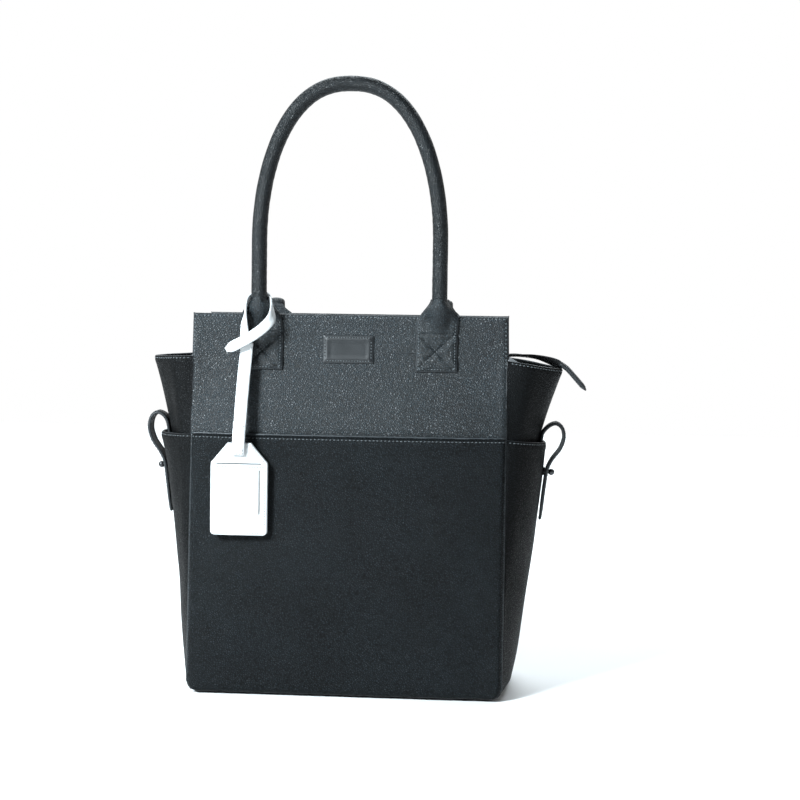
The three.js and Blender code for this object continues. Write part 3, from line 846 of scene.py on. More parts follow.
def make_face(side):
    name = face_name(side)

    def panel(u, v):
        z = v + 3
        x = lerp(-half_width(z), half_width(z), u / (2 * HALF_WIDTH))
        return facing_side(side, x, face_out(side, x, z), z)

    us, vs = samples(2 * HALF_WIDTH), samples(TOP - 3, ends=(False, True))
    sheet_on_bag(f"{name}_panel_leather", panel, us, vs, LEATHER_BLACK, f"{name}_panel")

    def facing(u, v):
        x, z = u - FACING[0] / 2, TOP - 0.6 - v
        dip = 0.5 * bump(v, 4, 1.2) + wave(x, 12, z, 60, 0.4)
        return facing_side(side, x, half_depth(z) - LEATHER - 1.2 - dip, z)

    sizes = [samples(d) for d in FACING]
    inner = skin(f"{name}_facing_leather", facing, *sizes, 1.6, LEATHER_BLACK, EDGE_PAINT)
    settle(inner, "bag", f"{name}_facing")

    def pocket(u, v):
        z = v + 1.5
        x = lerp(-half_width(z), half_width(z), u / (2 * HALF_WIDTH))
        return facing_side(side, x, pocket_out(side, x, z), z)

    hem = POCKET_TOP + SLIP_RISE - 1.5
    sheet_on_bag(f"{name}_pocket_leather", pocket, us, samples(hem), LEATHER_POCKET_SHADED,
                 f"{name}_pocket")

    width, top, inset = 2 * HALF_WIDTH, TOP - 3, SEAM_INSET

    def lip(u, v):
        rise = math.sqrt(max(1 - ((v - 0.9) / 0.9) ** 2, 0))
        x, z = lerp(-half_width(hem), half_width(hem), u / width) * 0.992, hem + v
        return facing_side(side, x, pocket_out(side, x, hem + 1.5) - 0.4 + 0.9 * rise, z)

    vs = [0.05, 0.3, 0.6, 0.9, 1.2, 1.5, 1.75]
    # the binding's paler leather is a painted highlight along the pocket's lip
    binding = skin(f"{name}_pocket_lip", lip, us, vs, 1.2, LEATHER_LIP_HIGHLIGHT, roundness=0.2)
    settle(binding, "bag")
    across = [inset + u for u in samples(width - 2 * inset, 4)]
    rows = [level_row(panel, across, top - inset)]
    for u in (inset, width - inset):
        rows.append(upright_row(panel, u, range(int(GUSSET_TOP) - 12, int(top - inset), 3)))
    rows.append(level_row(pocket, across, hem - HEM_ROW))
    sew(f"{name}_stitching", rows, "bag")


def make_end(side):
    info = SIDES[side]
    name = info["name"]
    gusset, pocket = gusset_point(side), side_pocket_point(side)
    us = samples(END_SPAN, 6)
    vs = samples(GUSSET_TOP, ends=(False, True))
    sheet_on_bag(f"{name}_gusset_leather", gusset, us, vs, LEATHER_SHADED, f"{name}_gusset")
    vs = [3 + v for v in samples(POCKET_TOP - 3, ends=(False, True))]
    sheet_on_bag(f"{name}_side_pocket_leather", pocket, us, vs, LEATHER_SHADED, f"{name}_side_pocket")
    rows = [
        level_row(gusset, range(4, END_SPAN - 3, 4), GUSSET_TOP - SEAM_INSET),
        level_row(pocket, range(4, END_SPAN - 3, 4), POCKET_TOP - SEAM_INSET),
    ]
    sew(f"{name}_end_stitching", rows, "bag")


def make_base():
    """The bottom: one leather sheet with rounded corners and its edges turned up a little."""

    def base(u, v):
        x, y = u - HALF_WIDTH + 9, v - BASE_HALF_DEPTH + 5
        over_x = max(abs(x) - (HALF_WIDTH - 24), 0)
        over_y = max(abs(y) - (BASE_HALF_DEPTH - 16), 0)
        if over_x and over_y:
            squeeze = 1 - 0.12 * smooth(0, 20, min(over_x, over_y))
            x, y = x * squeeze**0.5, y * squeeze
        edge = smooth(8, 16, over_x) + smooth(5, 12, over_y)
        return Vector((x, y, 1.4 * min(edge, 1)))

    us, vs = samples(2 * HALF_WIDTH - 18, 12), samples(2 * BASE_HALF_DEPTH - 10, 12)
    sheet_on_bag("base_leather", base, list(reversed(us)), vs, LEATHER_SHADED, "base_panel")


# ---- lining

RING = 132  # points round the lining
LINING_TOP = 341
FLOOR_HALF = (148, 67)


def lining_ring(share, z):
    """A point on the inside at height z. share 0 to 1 goes once round, front first."""
    inset = 4.0
    depth = half_depth(max(z, 8)) - inset
    width = HALF_WIDTH - 6
    part, f = divmod(share * 4, 1)
    if part == 0:
        return Vector((lerp(-width, width, f), -depth, z))
    if part == 2:
        return Vector((lerp(width, -width, f), depth, z))
    side = 1 if part == 1 else -1
    return arc(side, f if side > 0 else 1 - f, z, width, depth, max(gusset_bulge(z, side) - 0.5, 1))


def make_lining():
    def point(u, v):
        share = (u / RING) % 1
        part, f = divmod(share * 4, 1)
        top, soft = LINING_TOP, 0.5
        if part in (1, 3):
            droop = SIDES[1 if part == 1 else -1]["droop"]
            top -= 7 * smooth(0, 0.12, min(f, 1 - f)) + droop * math.sin(math.pi * f)
            soft = 1.6
        z = lerp(8, top, v)
        at = lining_ring(share, z)
        inward = Vector((-at.x * 0.3, -at.y, 0)).normalized()
        slack = 0.4 + abs(wave(at.x, at.y, z, 30, soft))
        slack += 0.4 * abs(wave(at.x, at.y, z, 12, soft))
        return at + inward * slack

    vs = [i / 40 for i in range(41)]
    walls = skin("lining_cloth", point, range(RING - 1, -1, -1), vs, 1.0, LINING, closed=True)
    settle(walls, "bag", "front_lining", "back_lining", "left_lining", "right_lining")

    def floor(u, v):
        wide, deep = FLOOR_HALF
        x, y = lerp(-wide, wide, u), lerp(-deep, deep, v)
        rise = 3 * smooth(wide - 8, wide, abs(x)) + 3 * smooth(deep - 7, deep, abs(y))
        return Vector((x, y, 6.4 + 0.8 * abs(noise.noise(Vector((x, y, 0)) / 30)) + rise))

    steps = [i / 30 for i in range(31)]
    settle(skin("base_lining_cloth", floor, steps, steps, 1.0, LINING), "bag", "base_lining")


def make_inner_pocket(name, side, width, bottom, top, stand, node):
    def point(u, v):
        share, z = u / width, bottom + v
        bow = 1 - (2 * share - 1) ** 4
        hem = top - z
        ripple = wave(u, 7 * side, z, 26, 0.8) - 0.5 * bump(hem, 9, 1.2) + 0.4 * bump(hem, 2, 3)
        out = half_depth(z) - 6.2 - stand * bow * v / (top - bottom) - ripple
        return Vector((side * lerp(-width / 2, width / 2, share), side * out, z))

    us, vs = samples(width, 6), samples(top - bottom, 6)
    settle(skin(name, point, us, vs, 1.0, LINING), "bag", node)
    hem = top - bottom - 9
    rows = [level_row(point, range(3, width - 2, 4), hem)]
    rows += [upright_row(point, u, range(3, int(hem), 4)) for u in (3, width - 3)]
    sew(name.replace("cloth", "stitching"), rows, "bag")


# ---- handles

TAB_HALF = 20
TAB_SPREAD = 87.5
TAB_FOOT = 325.5
TAB_NECK = {-1: 397, 1: 389}  # the folded back handle's tabs end lower
TAB_HUMP = {-1: 15.6, 1: 2.4}  # how far the handle's end lifts each tab's neck
TAB_CROSS = (1.9, 37)  # foot and head of the stitched box, above the tab's foot


def tab_half(side, z):
    narrowing = max((z - 372) / (TAB_NECK[side] - 372), 0) ** 1.25
    return lerp(TAB_HALF, HANDLE_RADIUS + 0.7, smooth(0, 1, narrowing))


def cross_relief(x, v):
    """The quilting of the box and X sewn through a tab, x from its middle and v from its foot."""
    low, high = TAB_CROSS
    half = TAB_HALF - SEAM_INSET
    if not low < v < high + 3:
        return 0
    middle, tall = (low + high) / 2, (high - low) / 2
    run = math.hypot(half, tall)
    cross = min(abs(x * tall - (v - middle) * half), abs(x * tall + (v - middle) * half)) / run
    lines = min(cross, abs(v - high)) if v < high else v - high
    return 1.0 * bump(lines, 4.5, 3) - 1.3 * bump(lines, 0, 1.0)


def tab_middle(x0, z):
    """The tab's box sits a little nearer the bag's middle than the handle's leg does."""
    return math.copysign(lerp(TAB_SPREAD, HANDLE_SPREAD, smooth(362, 390, z)), x0)


def tab_base(side, x, z):
    """The panel's face under a tab, carried on in its own slope above the panel's edge."""
    low = min(z, 366)
    panel = face_out(side, x, low) - half_depth(low)
    return half_depth(min(z, TOP)) + lerp(panel, 0.6, smooth(360, 384, z))


def tab_out(side, x0, x, z):
    """Outer face of a handle tab. The front ones have the hump of the handle's end under them."""
    half = tab_half(side, z)
    from_edge = min(half - abs(x - x0), z - TAB_FOOT)
    rise = smooth(350, 396, z) ** 1.3 * TAB_HUMP[side]
    spread = max(1 - ((x - x0) / (half + 0.4)) ** 2, 0) ** 0.5
    narrow = max(1 - ((x - x0) / 10.5) ** 2, 0) ** 0.7
    hump = rise * lerp(narrow, spread, smooth(372, 392, z))
    plate = lerp(2.9, 1.2, smooth(380, TAB_NECK[side], z)) + cross_relief(x - x0, z - TAB_FOOT)
    return tab_base(side, x, z) + plate + hump + seam(from_edge) + pucker(z + x, from_edge, 4) * 0.5


def make_tab(side, sign):
    x0 = -side * sign * HANDLE_SPREAD
    node = f"{face_name(side)}_{'left' if sign < 0 else 'right'}_handle_tab"

    def outer(u, v):
        z = TAB_FOOT + v
        middle = tab_middle(x0, z)
        x = middle + u / TAB_HALF * tab_half(side, z)
        return facing_side(side, x, tab_out(side, middle, x, z), z)

    def inner(u, v):
        z = TAB_FOOT + v
        x = tab_middle(x0, z) + u / TAB_HALF * tab_half(side, z)
        return facing_side(side, x, tab_base(side, x, z) + 0.1, z)

    us = [u - TAB_HALF for u in samples(2 * TAB_HALF, 1.2)]
    vs = samples(TAB_NECK[side] - TAB_FOOT, 1.2)
    name = node.replace("handle_tab", "tab_leather")
    settle(two_faced(name, outer, inner, us, vs), "bag", node)

    inset, high = SEAM_INSET, 48

    def row(a, b):
        steps = 14
        points = [(lerp(a[0], b[0], k / steps),
                   lerp(a[1], b[1], k / steps)) for k in range(steps + 1)]
        return [on_surface(outer, u, v, 0.4) for u, v in points]

    left, right = -TAB_HALF + inset, TAB_HALF - inset
    rows = [row((left, inset), (right, inset)), row((left, inset), (left, high)),
            row((right, inset), (right, high))]
    cross_low, cross_high = TAB_CROSS
    rows += [row((left, cross_low), (right, cross_high)),
             row((right, cross_low), (left, cross_high)),
             row((left, cross_high), (right, cross_high))]
    sew(name.replace("leather", "stitching"), rows, "bag", pitch=2.9)


def handle_profile(t):
    """X and height above the hinge of the handle's middle line, t from 0 to 1 between its feet."""
    leg, rise, foot = 53, 155, -14
    share = 0.13
    sign = -1 if t < 0.5 else 1
    near = min(t, 1 - t)
    if near < share:
        return sign * HANDLE_SPREAD, lerp(foot, leg, near / share)
    angle = math.pi / 2 * (near - share) / (0.5 - share)
    return sign * HANDLE_SPREAD * max(math.cos(angle), 0) ** 0.85, leg + rise * math.sin(angle)


def handle_path(side, turn):
    """The handle's middle line in space. turn is how far it leans from upright, outwards."""
    steps = 160
    path = []
    for k in range(steps + 1):
        x, up = handle_profile(k / steps)
        if turn and up < 14:
            continue
        forward = 0 if turn else 3.6 * smooth(4, -14, up)
        out = HINGE_OUT + math.sin(turn) * up - forward
        path.append(Vector((x, side * out, HINGE_HEIGHT + math.cos(turn) * up)))
    return path


def oval(a, b, angle):
    return a * b / math.hypot(b * math.cos(angle), a * math.sin(angle))


def make_handle(side, turn):
    """One rolled handle: a leather tube with its seam inside the arch, and light creases."""
    name = face_name(side)
    path = handle_path(side, turn)
    last = len(path) - 1

    def radius(i, angle):
        flat = 3.6 * smooth(9, 0, min(i, last - i)) if turn else 0
        off = (angle + math.pi) % (2 * math.pi) - math.pi
        groove = 0.55 * bump(off, 0, 0.16) - 0.3 * bump(off, 0, 0.5)
        crease = 0.1 * math.sin(i * 2.3 + 2 * math.sin(i / 7)) * bump(abs(off), math.pi, 1.3)
        round_it = oval(HANDLE_RADIUS, HANDLE_RADIUS - flat, angle)
        return round_it - groove + crease + 0.2 * noise.noise(path[i] / 19)

    tube = sweep(f"{name}_handle_leather", path, radius, 28, LEATHER_ROLLED)
    body = f"{name}_handle"
    if not turn:
        at = side * HINGE_OUT
        body = ("bag", body, (0, at, HINGE_HEIGHT - 8), (0, at, HINGE_HEIGHT + 10))
    settle(tube, body, f"{name}_handle_cover", f"{name}_handle_core")


BACK_FOOT = [(54.2, 366), (54.6, 379), (56, 388), (59.5, 393), (63, 391.5), (64.4, 384),
             (64.8, 373)]


def make_back_feet():
    """The flattened ends of the folded back handle, which come out of their tabs and turn down."""
    for sign, name in ((-1, "left"), (1, "right")):
        x = sign * HANDLE_SPREAD
        points = [(x, y, z) for y, z in BACK_FOOT]
        path = [catmull(points, k / 24) for k in range(25)]
        foot = sweep(f"back_{name}_handle_foot", path, lambda i, a: oval(3.4, 8.4, a), 24,
                     LEATHER_ROLLED,
                     up=Vector((1, 0, 0)))
        settle(foot, ("bag", "back_handle", (x, 57.5, 395), (x, 64, 395)))


# ---- zip

FLAP_ENDS = (-110, 126)
TEETH_OUT, TEETH_LIFT = 45, -0.5  # where the teeth are on a flap, from its fold line and its face
ZIP_BEND = (62, 124)  # between these the open zip's two sides close up to the slider


def flap_point(side, x, d, lift):
    """A point on a zip flap, d from its fold line and lift above its upper face."""
    closed = smooth(*ZIP_BEND, x)
    angle = FLAP_OPEN * (1 - closed)
    inward = Vector((0, -side, 0))
    along = inward * math.cos(angle) - Vector((0, 0, 1)) * math.sin(angle)
    up = inward * math.sin(angle) + Vector((0, 0, 1)) * math.cos(angle)
    return Vector((x, side * FLAP_PIVOT[0], FLAP_PIVOT[1])) + along * d + up * lift


def make_flap(side):
    name = face_name(side)
    low, high = FLAP_ENDS
    length = high - low
    body = (f"{name}_zip_flap", "bag", (ZIP_BEND[0], 0, 340), (ZIP_BEND[1], 0, 340))
    turn = 1 if side < 0 else -1

    def across(first, lift, ripple):
        def point(u, v):
            x = low + u if turn > 0 else high - u
            d = first + v
            return flap_point(side, x, d,
                              lift + wave(x, 3 * side, d, 30, ripple) * smooth(0, 12, v))
        return point

    leather = across(0.6, 1.6, 0.8)
    us, vs = samples(length - 6, 5), samples(35)
    strip = skin(f"{name}_zip_facing_leather", leather, us, vs, 1.5, LEATHER_BLACK, EDGE_PAINT)
    settle(strip, body, f"{name}_zip_facing")
    rows = [level_row(leather, range(3, length - 8, 4), v) for v in (30, 33)]
    sew(f"{name}_zip_stitching", rows, body)
    tape = across(20, -0.5, 0.4)
    woven_tape = skin(f"{name}_zip_tape_weave", tape, samples(length, 5), samples(24.5, 4), 0.7,
                      TAPE)
    settle(woven_tape, body, f"{name}_zip_tape")

    def frame_at(s):
        here, there, out = (flap_point(side, low + s + a, TEETH_OUT + b, TEETH_LIFT)
                            for a, b in ((0, 0), (1, 0), (0, 1)))
        return here, there - here, out - here

    teeth = zip_teeth(f"{name}_zip_teeth_row", frame_at, length, 0)
    settle(teeth, body, f"{name}_zip_teeth")


def zip_teeth(name, frame_at, length, phase, pitch=2.6):
    """A row of moulded teeth. frame_at(s) gives a point, the row's direction and the teeth's."""
    bm = bmesh.new()
    half = (0.62, 1.75, 1.0)
    count = int((length - 2) / pitch)
    for k in range(count):
        at, along, out = frame_at(1 + phase + k * pitch)
        along, out = along.normalized(), out.normalized()
        up = along.cross(out).normalized()
        made = bmesh.ops.create_cube(bm, size=2)["verts"]
        for vert in made:
            x, y, z = vert.co
            waist = 0.72 if y < 0 else 1.0
            vert.co = (at + along * x * half[0] * waist + out * y * half[1]
                       + up * z * half[2] * waist) * MM
    bmesh.ops.bevel(bm, geom=list(bm.edges), offset=0.22 * MM, segments=1, affect="EDGES",
                    clamp_overlap=True)
    bmesh.ops.recalc_face_normals(bm, faces=bm.faces)
    mesh = bpy.data.meshes.new(name)
    bm.to_mesh(mesh)
    bm.free()
    mesh.materials.append(GUNMETAL)
    return placed(name, mesh, "metal")


TAIL = [(133, 340.5), (150, 341), (166, 342), (182, 340.8), (198, 337), (210, 332.6), (218, 328.6)]


def tail_point(share, across, lift):
    """A point on the hanging zip tail: share along it, across from its middle."""
    def middle(t):
        return in_side_view(TAIL, t)

    tangent = direction(middle, share, 0.01)
    up = tangent.cross(Vector((0, 1, 0))) * -1
    roll = 0.3 * smooth(0.3, 0.8, share) * (1 - smooth(0.8, 1, share))
    side = Vector((0, 1, 0)) * math.cos(roll) + up * math.sin(roll)
    return middle(share) + side * across + up * (lift - 0.006 * across**2 * smooth(0, 0.3, share))


def make_zip_tail():
    length = 92

    def tape(u, v):
        share = u / length
        half = lerp(14, 10, smooth(0.82, 1, share))
        return tail_point(share, (v / 14 - 1) * half, 0.6)

    body = ("bag", "zip_tail", (136, 0, 341), (152, 0, 341))
    us, vs = samples(length, 3), samples(28, 3)
    settle(skin("zip_tail_tape_weave", tape, us, vs, 1.0, TAPE), body, "zip_tail_tape")
    rows = []
    for side in (-1, 1):
        def frame_at(s, side=side):
            here = tail_point(s / length, side * 1.5, 1.6)
            there = tail_point((s + 1) / length, side * 1.5, 1.6)
            inner = tail_point(s / length, 0, 1.6)
            return here, there - here, inner - here
        rows.append(zip_teeth(f"tail_teeth_{side}", frame_at, length - 6, 0.65 * (side + 1)))
    settle(join("zip_tail_teeth_rows", rows), body, "zip_tail_teeth")


END_TAB = [(212, 333), (218.5, 328.4), (224.5, 322), (231, 314.8), (237.5, 307.3)]


def make_end_tab():
    """The leather tab folded over the tail's end and stitched."""
    length, half = 38, 10.5

    def middle(t):
        return in_side_view(END_TAB, t)

    def surface(sign):
        def point(u, v):
            share = u / length
            tangent = direction(middle, share, 0.02)
            up = Vector((-tangent.z, 0, tangent.x))
            tip = length - u
            width = half - 3.4 * (1 - min(tip / 7, 1)) ** 2
            edge = min(half - abs(v), tip, u + 4)
            thick = 2.3 + seam(edge) * 0.7 - 0.6 * smooth(6, 0, tip)
            return middle(share) + Vector((0, v / half * width, 0)) + up * sign * thick
        return point

    us, vs = samples(length, 3), [v - half for v in samples(2 * half, 2.5)]
    top = surface(1)
    tab = two_faced("zip_end_tab_leather", top, surface(-1), us, vs, roundness=1.4)
    body = ("zip_tail", "end_tab", (215, 0, 332), (225, 0, 323))
    settle(tab, body, "zip_end_tab")
    edge = half - SEAM_INSET
    rows = [level_row(top, range(2, 36, 2), v, 0.4) for v in (-edge, edge)]
    rows.append(upright_row(top, 35.7, range(-7, 8, 2), 0.4))
    sew("zip_end_tab_stitching", rows, body, pitch=2.8)


def make_slider():
    low, high = cad_box("zip_slider")
    x = (low.x + high.x) / 2
    outline = [(-7, -2.6), (-3, -4.4), (3, -4.4), (7, -3.2), (7, 3.2), (3, 4.4), (-3, 4.4),
               (-7, 2.6)]
    here = Matrix.Translation((x, 0, 0))
    web = Matrix.Translation((x - 3.5, 0, 0))
    plates = [flat_plate("slider_top", [outline], 343.6, 345, 0.4, here, GUNMETAL),
              flat_plate("slider_bottom", [outline], 336.9, 338.3, 0.4, here, GUNMETAL),
              flat_plate("slider_web", [rounded(5, 0.7, 0.3)], 338, 344, 0.05, web, GUNMETAL)]
    settle(join("zip_slider_body", plates), "slider", "zip_slider")
    low, high = cad_box("zip_pull")
    middle = (low + high) / 2
    holes = ((-8.6, rounded(3, 3, 1.4)), (8.6, rounded(2.6, 2.6, 1.2)))
    ring = [rounded(24, 7, 3.2)] + [[(px + shift, py) for px, py in hole] for shift, hole in holes]
    place = Matrix.Translation((middle.x, middle.y, 0))
    settle(flat_plate("zip_pull_plate", ring, low.z, high.z, 0.35, place, GUNMETAL), "pull",
           "zip_pull")


# ---- side straps

STRAP_FOOT = 236  # height of the foot of the strap's arch
# X, and how far up the arch from its foot to its top.
STRAP_ARCH = [(201.5, 0.93), (207.7, 1), (213, 0.93), (216, 0.79), (216.6, 0.55), (213, 0.28),
              (205.5, 0)]
STRAP_TAIL = [(200.8, 227), (199.2, 219), (197.2, 204), (194.2, 174)]


def make_side_strap(side):
    name = SIDES[side]["name"]
    top, tuck = SIDES[side]["strap"], SIDES[side]["tuck"]
    root = [(HALF_WIDTH + gusset_bulge(top - d, side) + 2, top - d, 0) for d in (33, 25, 17, 9)]
    points = root + [(x - tuck, lerp(STRAP_FOOT, top, up), 0) for x, up in STRAP_ARCH]
    points += [(x - tuck, z, 0) for x, z in STRAP_TAIL]
    length, half = 150, 9

    def middle(share):
        x, z = catmull(points, share).xy
        return Vector((side * x, 0, z))

    def point(u, v):
        share = u / length
        tangent = direction(middle, share, 0.006)
        up = Vector((0, side, 0)).cross(tangent) * -1
        tip = length - u
        width = half * (1 - 0.55 * (1 - min(tip / 8, 1)) ** 2)
        edge = min(half - abs(v), tip)
        lift = 1.5 + seam(edge) * 0.5 + 0.05 * math.sin(u / 3)
        return middle(share) + Vector((0, side * v / half * width, 0)) + up * lift

    us, vs = samples(length, 3), [v - half for v in samples(2 * half, 2.5)]
    crown = 207.9 - tuck
    body = ("bag", f"{name}_strap", (side * crown, 0, top), (side * (crown + 5), 0, top - 1.7))
    leather = skin(f"{name}_side_strap_leather", point, us, vs, 3.0, LEATHER_SHADED, EDGE_PAINT,
                   roundness=1.4)
    hole = [(0, -12), (3.3, -12), (3.3, 30), (0, 30)]
    plug = turned("buttonhole", hole, stud_place(side), LEATHER_SHADED, 24)
    subtract(leather, plug)
    settle(leather, body, f"{name}_side_strap", f"{name}_strap_root")
    rows = [level_row(point, range(52, 144, 2), v, 0.4) for v in (-6.7, 6.7)]
    sew(f"{name}_side_strap_stitching", rows, body)


def subtract(piece, *cutters):
    """Takes the cutters out of the piece."""
    for cutter in cutters:
        change = piece.modifiers.new("cut", "BOOLEAN")
        change.object, change.operation, change.solver = cutter, "DIFFERENCE", "EXACT"
    mesh = baked(piece)
    piece.modifiers.clear()
    piece.data = mesh
    for cutter in cutters:
        bpy.data.objects.remove(cutter)


def stud_place(side):
    low, high = cad_box(f"{SIDES[side]['name']}_strap_stud")
    z = (low.z + high.z) / 2
    foot = HALF_WIDTH + pocket_bulge(z, side)
    slope = math.atan(pocket_bulge(z + 1, side) - pocket_bulge(z, side))
    turn = Matrix.Rotation(side * (math.pi / 2 + slope), 4, "Y")
    return Matrix.Translation((side * (foot + 0.2), 0, z)) @ turn


def make_stud(side):
    name = SIDES[side]["name"]
    profile = [(0, -0.4), (4.4, -0.4), (4.4, 0.3), (3.9, 0.9), (2.3, 1.2), (1.9, 2.2), (1.9, 4.6),
               (2.4, 5.6)]
    ball, centre = 3.4, 7.9
    for k in range(9):
        angle = lerp(-0.65, math.pi / 2, k / 8)
        profile.append((ball * math.cos(angle) if k < 8 else 0, centre + ball * math.sin(angle)))
    settle(turned(f"{name}_ball_stud", profile, stud_place(side), GUNMETAL), "bag",
           f"{name}_strap_stud")


# ---- label, strap and tag


def make_label():
    """A blank patch with a pressed frame and a stitched border."""
    width, height, foot, middle = 50, 27, 332.5, -1

    def outer(u, v):
        x, z = middle + u - width / 2, foot + v
        d = min(u, width - u, v, height - v)
        pressed = 0.7 * bump(d, 6.2, 0.6)
        return facing_side(-1, x, face_out(-1, x, z) + 2.3 + seam(d) - pressed, z)

    def inner(u, v):
        x, z = middle + u - width / 2, foot + v
        return facing_side(-1, x, face_out(-1, x, z) + 0.1, z)

    us, vs = samples(width, 1), samples(height, 1)
    patch = two_faced("label_patch_leather", outer, inner, us, vs, LEATHER_LABEL, roundness=0.8)
    settle(patch, "bag", "label_patch")
    d = SEAM_INSET
    rows = [level_row(outer, range(3, width - 2, 2), v, 0.4) for v in (d, height - d)]
    rows += [upright_row(outer, u, range(4, height - 3, 2), 0.4) for u in (d, width - d)]
    sew("label_patch_stitching", rows, "bag", pitch=2.6)


# X, y, z and the heading of the outer face in degrees, along the strap round the handle's foot.
LOOP = [
    (-102.5, -63.5, 351, -15), (-104.5, -62, 367, -40), (-103.5, -61, 381, -80),
    (-101, -57, 392.5, -110), (-95, -48, 397, -150), (-90, -46.5, 397.5, -180),
    (-85, -48, 397, -210), (-79, -57, 392.5, -250), (-76, -63, 382, -290),
    (-77.5, -67.5, 374, -325), (-86, -69, 365, -350), (-99, -70, 356, -360),
    (-112, -69.5, 349, -360), (-121, -69, 344, -360),
]


def ribbon(name, points, width, thickness, material, length, tip=0.0):
    """A strap along points of x, y, z and its outer face's heading. tip is how pointed it ends."""
    headings = [(p[3], 0, 0) for p in points]
    places = [p[:3] for p in points]

    def middle(share):
        return catmull(places, share)

    def point(u, v):
        share = u / length
        tangent = direction(middle, share, 0.008)
        heading = math.radians(catmull(headings, share).x)
        away = Vector((math.sin(heading), -math.cos(heading), 0))
        across = tangent.cross(away).normalized() * -1
        away = tangent.cross(across)
        left = length - u
        narrow = 1 - tip * (1 - min(left / 7, 1))
        d = min(width / 2 - abs(v), left, u)
        lift = thickness / 2 + 0.25 * bump(d, 3, 2.2) - 0.3 * bump(d, 0, 0.8)
        return middle(share) + across * v * narrow + away * lift

    us, vs = samples(length, 2.5), [v - width / 2 for v in samples(width, 2)]
    return skin(name, point, us, vs, thickness, material, roundness=0.9), point


TAG = Vector((-105.7, 0, 206.3))
TAG_HALF = (28, 45.5)
TAG_OUT = {"back": 77.1, "front": 80.3}  # how far each leaf's face is from the bag's middle plane
CARD_SIZE = (44, 58)
STRAP_WIDTH = 11.6


def tag_width(v):
    """Half the tag's width, v above its middle: cut corners at the top, rounded ones below."""
    chamfer = 17 * min(max((v - 26) / 20, 0), 1)
    radius = 3.5
    low = radius - (v + TAG_HALF[1])
    corner = radius - math.sqrt(max(radius**2 - low * low, 0)) if low > 0 else 0
    return TAG_HALF[0] - chamfer - corner


def tag_face(out):
    def point(u, v):
        v = v - TAG_HALF[1]
        x = u / TAG_HALF[0] * tag_width(v)
        bow = 1.1 * (x / TAG_HALF[0]) ** 2 + 0.5 * math.sin(v / 30 + x / 40)
        d = min(tag_width(v) - abs(x), v + TAG_HALF[1] + 0.2, TAG_HALF[1] - v)
        relief = 0.3 * bump(d, 5, 2.5) - 0.25 * bump(d, SEAM_INSET, 0.7) - 0.3 * bump(d, 0, 0.8)
        return TAG + Vector((x, -out + bow - relief, v))
    return point


def block(name, low, high):
    """A plain cutter."""
    corners = [Vector((x, y, z)) for z in (low[2], high[2]) for x, y in
               ((low[0], low[1]), (high[0], low[1]), (high[0], high[1]), (low[0], high[1]))]
    faces = [(3, 2, 1, 0), (4, 5, 6, 7), (0, 1, 5, 4), (1, 2, 6, 5), (2, 3, 7, 6), (3, 0, 4, 7)]
    return make(name, corners, faces, WHITE)


def make_tag():
    loop, _ = ribbon("tag_strap_loop_leather", LOOP, 9.5, 2, WHITE, 150, 0.55)
    settle(loop, "bag", "tag_strap_loop")
    drop = [(-101.5, -62.7, 351, 0), (-102.3, -64.4, 336, 0), (-103.4, -67, 320.5, 0),
            (-104.6, -73, 294, 0),
            (-105.5, -79, 266, 0)]
    upper, _ = ribbon("tag_strap_upper_leather", drop, STRAP_WIDTH, 2, WHITE, 88)
    settle(upper, ("bag", "tag_strap", (0, 0, 324.5), (0, 0, 316.5)), "tag_strap_upper")
    drop = [(-105.2, -80.0, 273, 0), (-105.6, -82.6, 260, 0), (-105.9, -83.6, 248, 0),
            (-105.9, -81.9, 240.5, 0)]
    lower, face = ribbon("tag_strap_lower_leather", drop, STRAP_WIDTH, 2, WHITE, 37)
    hang = ("tag_strap", "tag", (0, 0, 251), (0, 0, 243))
    settle(lower, hang, "tag_strap_lower")
    rows = [upright_row(face, u, (-4.5, -2, 0, 2, 4.5), 0.4) for u in (4, 34)]
    rows += [level_row(face, range(24, 35, 2), v, 0.4) for v in (-4.2, 4.2)]
    sew("tag_strap_stitching", rows, hang, WHITE_THREAD, 2.4)

    us = [u - TAG_HALF[0] for u in samples(2 * TAG_HALF[0], 3)]
    vs = samples(2 * TAG_HALF[1], 3)
    for name, out in TAG_OUT.items():
        sheet = skin(f"tag_{name}_leather", tag_face(out), us, vs, 1.5, WHITE, roundness=0.75)
        if name == "front":
            mouth = block("mouth", (TAG.x - 22, -90, 231.1), (TAG.x + 22, -70, 232.2))
            slit = (TAG.x + 20.2, -90, TAG.z - 25), (TAG.x + 21.5, -70, TAG.z + 19)
            subtract(sheet, mouth, block("side_slit", *slit))
        settle(sheet, "tag", f"tag_{name}")
    outer = tag_face(TAG_OUT["front"])
    inset = TAG_HALF[0] - SEAM_INSET
    rows = [upright_row(outer, side * inset, range(8, 90, 2), 0.4) for side in (-1, 1)]
    rows.append(level_row(outer, range(-20, 21, 2), SEAM_INSET, 0.4))
    sew("tag_edge_stitching", rows, "tag", WHITE_THREAD, 2.6)
    across = [lerp(-24, 24, k / 20) for k in range(21)]
    row = level_row(outer, across, 2 * TAG_HALF[1] - 23.4, 0.4)
    sew("tag_mouth_stitching", [row], "tag", WHITE_THREAD, 2.6)

    def card(u, v):
        x, z = u - CARD_SIZE[0] / 2, v - 39
        bow = 1.1 * (x / TAG_HALF[0]) ** 2
        return TAG + Vector((x, -78.3 + bow + 0.5 * math.sin(z / 30 + x / 40), z))

    sizes = [samples(d, 6) for d in CARD_SIZE]
    settle(skin("tag_paper_card", card, *sizes, 0.6, CARD, roundness=0.3), "tag", "tag_card")


# ---- everything in its place

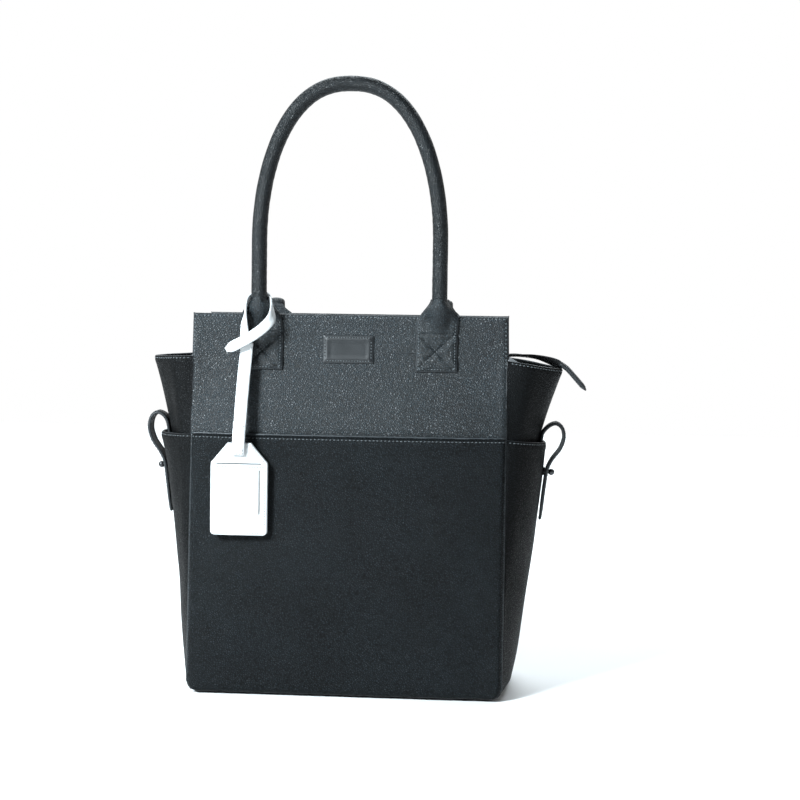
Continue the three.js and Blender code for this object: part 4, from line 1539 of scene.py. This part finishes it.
for side in (-1, 1):
    make_face(side)
    make_end(side)
    make_flap(side)
    make_stud(side)
    make_side_strap(side)
    for sign in (-1, 1):
        make_tab(side, sign)
make_base()
make_lining()
make_inner_pocket("inner_slip_pocket_cloth", -1, 250, 60, 210, 10, "inner_slip_pocket")
make_inner_pocket("inner_bottle_pocket_cloth", 1, 220, 30, 160, 12, "inner_bottle_pocket")
make_handle(-1, 0)
make_handle(1, BACK_FOLD)
make_back_feet()
make_zip_tail()
make_end_tab()
make_slider()
make_label()
make_tag()

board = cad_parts["base_board"].data
board.materials.clear()
board.materials.append(BOARD)


# ---- floor, light and camera


def add_floor():
    reach = 3.2
    mesh = bpy.data.meshes.new("floor")
    corners = [(x * reach, y * reach, 0) for x, y in ((-1, -1), (1, -1), (1, 1), (-1, 1))]
    mesh.from_pydata(corners, [], [(0, 1, 2, 3)])
    n = Nodes("pale_floor", Roughness=0.7)
    n.put(n.mix(n.noise(3, 3), rgb(0.86, 0.86, 0.86), rgb(0.9, 0.9, 0.9)), "Base Color")
    mesh.materials.append(n.material)
    floor = bpy.data.objects.new("floor", mesh)
    floor.location.z = -0.0012
    bpy.context.scene.collection.objects.link(floor)


DAYLIGHT = (0.85, 0.95, 1.0)


def add_light(name, place, size, watts, target=(0, 0, 0.26)):
    light = bpy.data.lights.new(name, "AREA")
    light.size, light.energy, light.color = size, watts, DAYLIGHT
    lamp = bpy.data.objects.new(name, light)
    lamp.location = place
    aim = Vector(target) - lamp.location
    lamp.rotation_euler = aim.to_track_quat("-Z", "Y").to_euler()
    bpy.context.scene.collection.objects.link(lamp)


def add_camera():
    distance, height, focal = 1.7, 0.4, 74.2
    azimuth, yaw, pitch, roll = (math.radians(a) for a in (5.69, -1.61, 3.61, 0.83))
    heading = azimuth + yaw
    level = math.cos(pitch)
    forward = Vector((-math.sin(heading) * level, math.cos(heading) * level, -math.sin(pitch)))
    right = Vector((math.cos(heading), math.sin(heading), 0))
    up = right.cross(forward)
    turned_right = right * math.cos(roll) + up * math.sin(roll)
    turned_up = up * math.cos(roll) - right * math.sin(roll)
    camera = bpy.data.objects.new("camera", bpy.data.cameras.new("camera"))
    camera.data.lens, camera.data.sensor_width = focal, 36
    axes = Matrix((turned_right, turned_up, -forward)).transposed().to_4x4()
    place = Vector((distance * math.sin(azimuth), -distance * math.cos(azimuth), height))
    camera.matrix_world = Matrix.Translation(place) @ axes
    bpy.context.scene.collection.objects.link(camera)
    bpy.context.scene.camera = camera


def add_surroundings():
    """A white studio, brightest behind the bag and dimmer on the camera's side."""
    world = bpy.data.worlds.new("white_studio")
    world.use_nodes = True
    tree = world.node_tree
    heading = tree.nodes.new("ShaderNodeTexCoord")
    parts = tree.nodes.new("ShaderNodeSeparateXYZ")
    fade = tree.nodes.new("ShaderNodeMapRange")
    for socket, value in (("From Min", 0.0), ("From Max", 0.8), ("To Min", 0.1), ("To Max", 1.0)):
        fade.inputs[socket].default_value = value
    tree.links.new(heading.outputs["Generated"], parts.inputs[0])
    tree.links.new(parts.outputs["Y"], fade.inputs["Value"])
    tree.links.new(fade.outputs["Result"], tree.nodes["Background"].inputs["Strength"])
    tree.nodes["Background"].inputs["Color"].default_value = rgb(1, 1, 1)
    bpy.context.scene.world = world


add_floor()
add_light("key", (-1.15, -1.4, 1.25), 0.5, 112)
add_light("fill", (1.4, -1.6, 1.0), 1.0, 2)
add_light("back", (0.2, 1.3, 1.6), 1.4, 14)
add_light("floor_wash", (0, 2.6, 2.6), 3, 130, (0, 2.7, 0))
add_surroundings()
bpy.context.scene.view_settings.view_transform = "Standard"
add_camera()
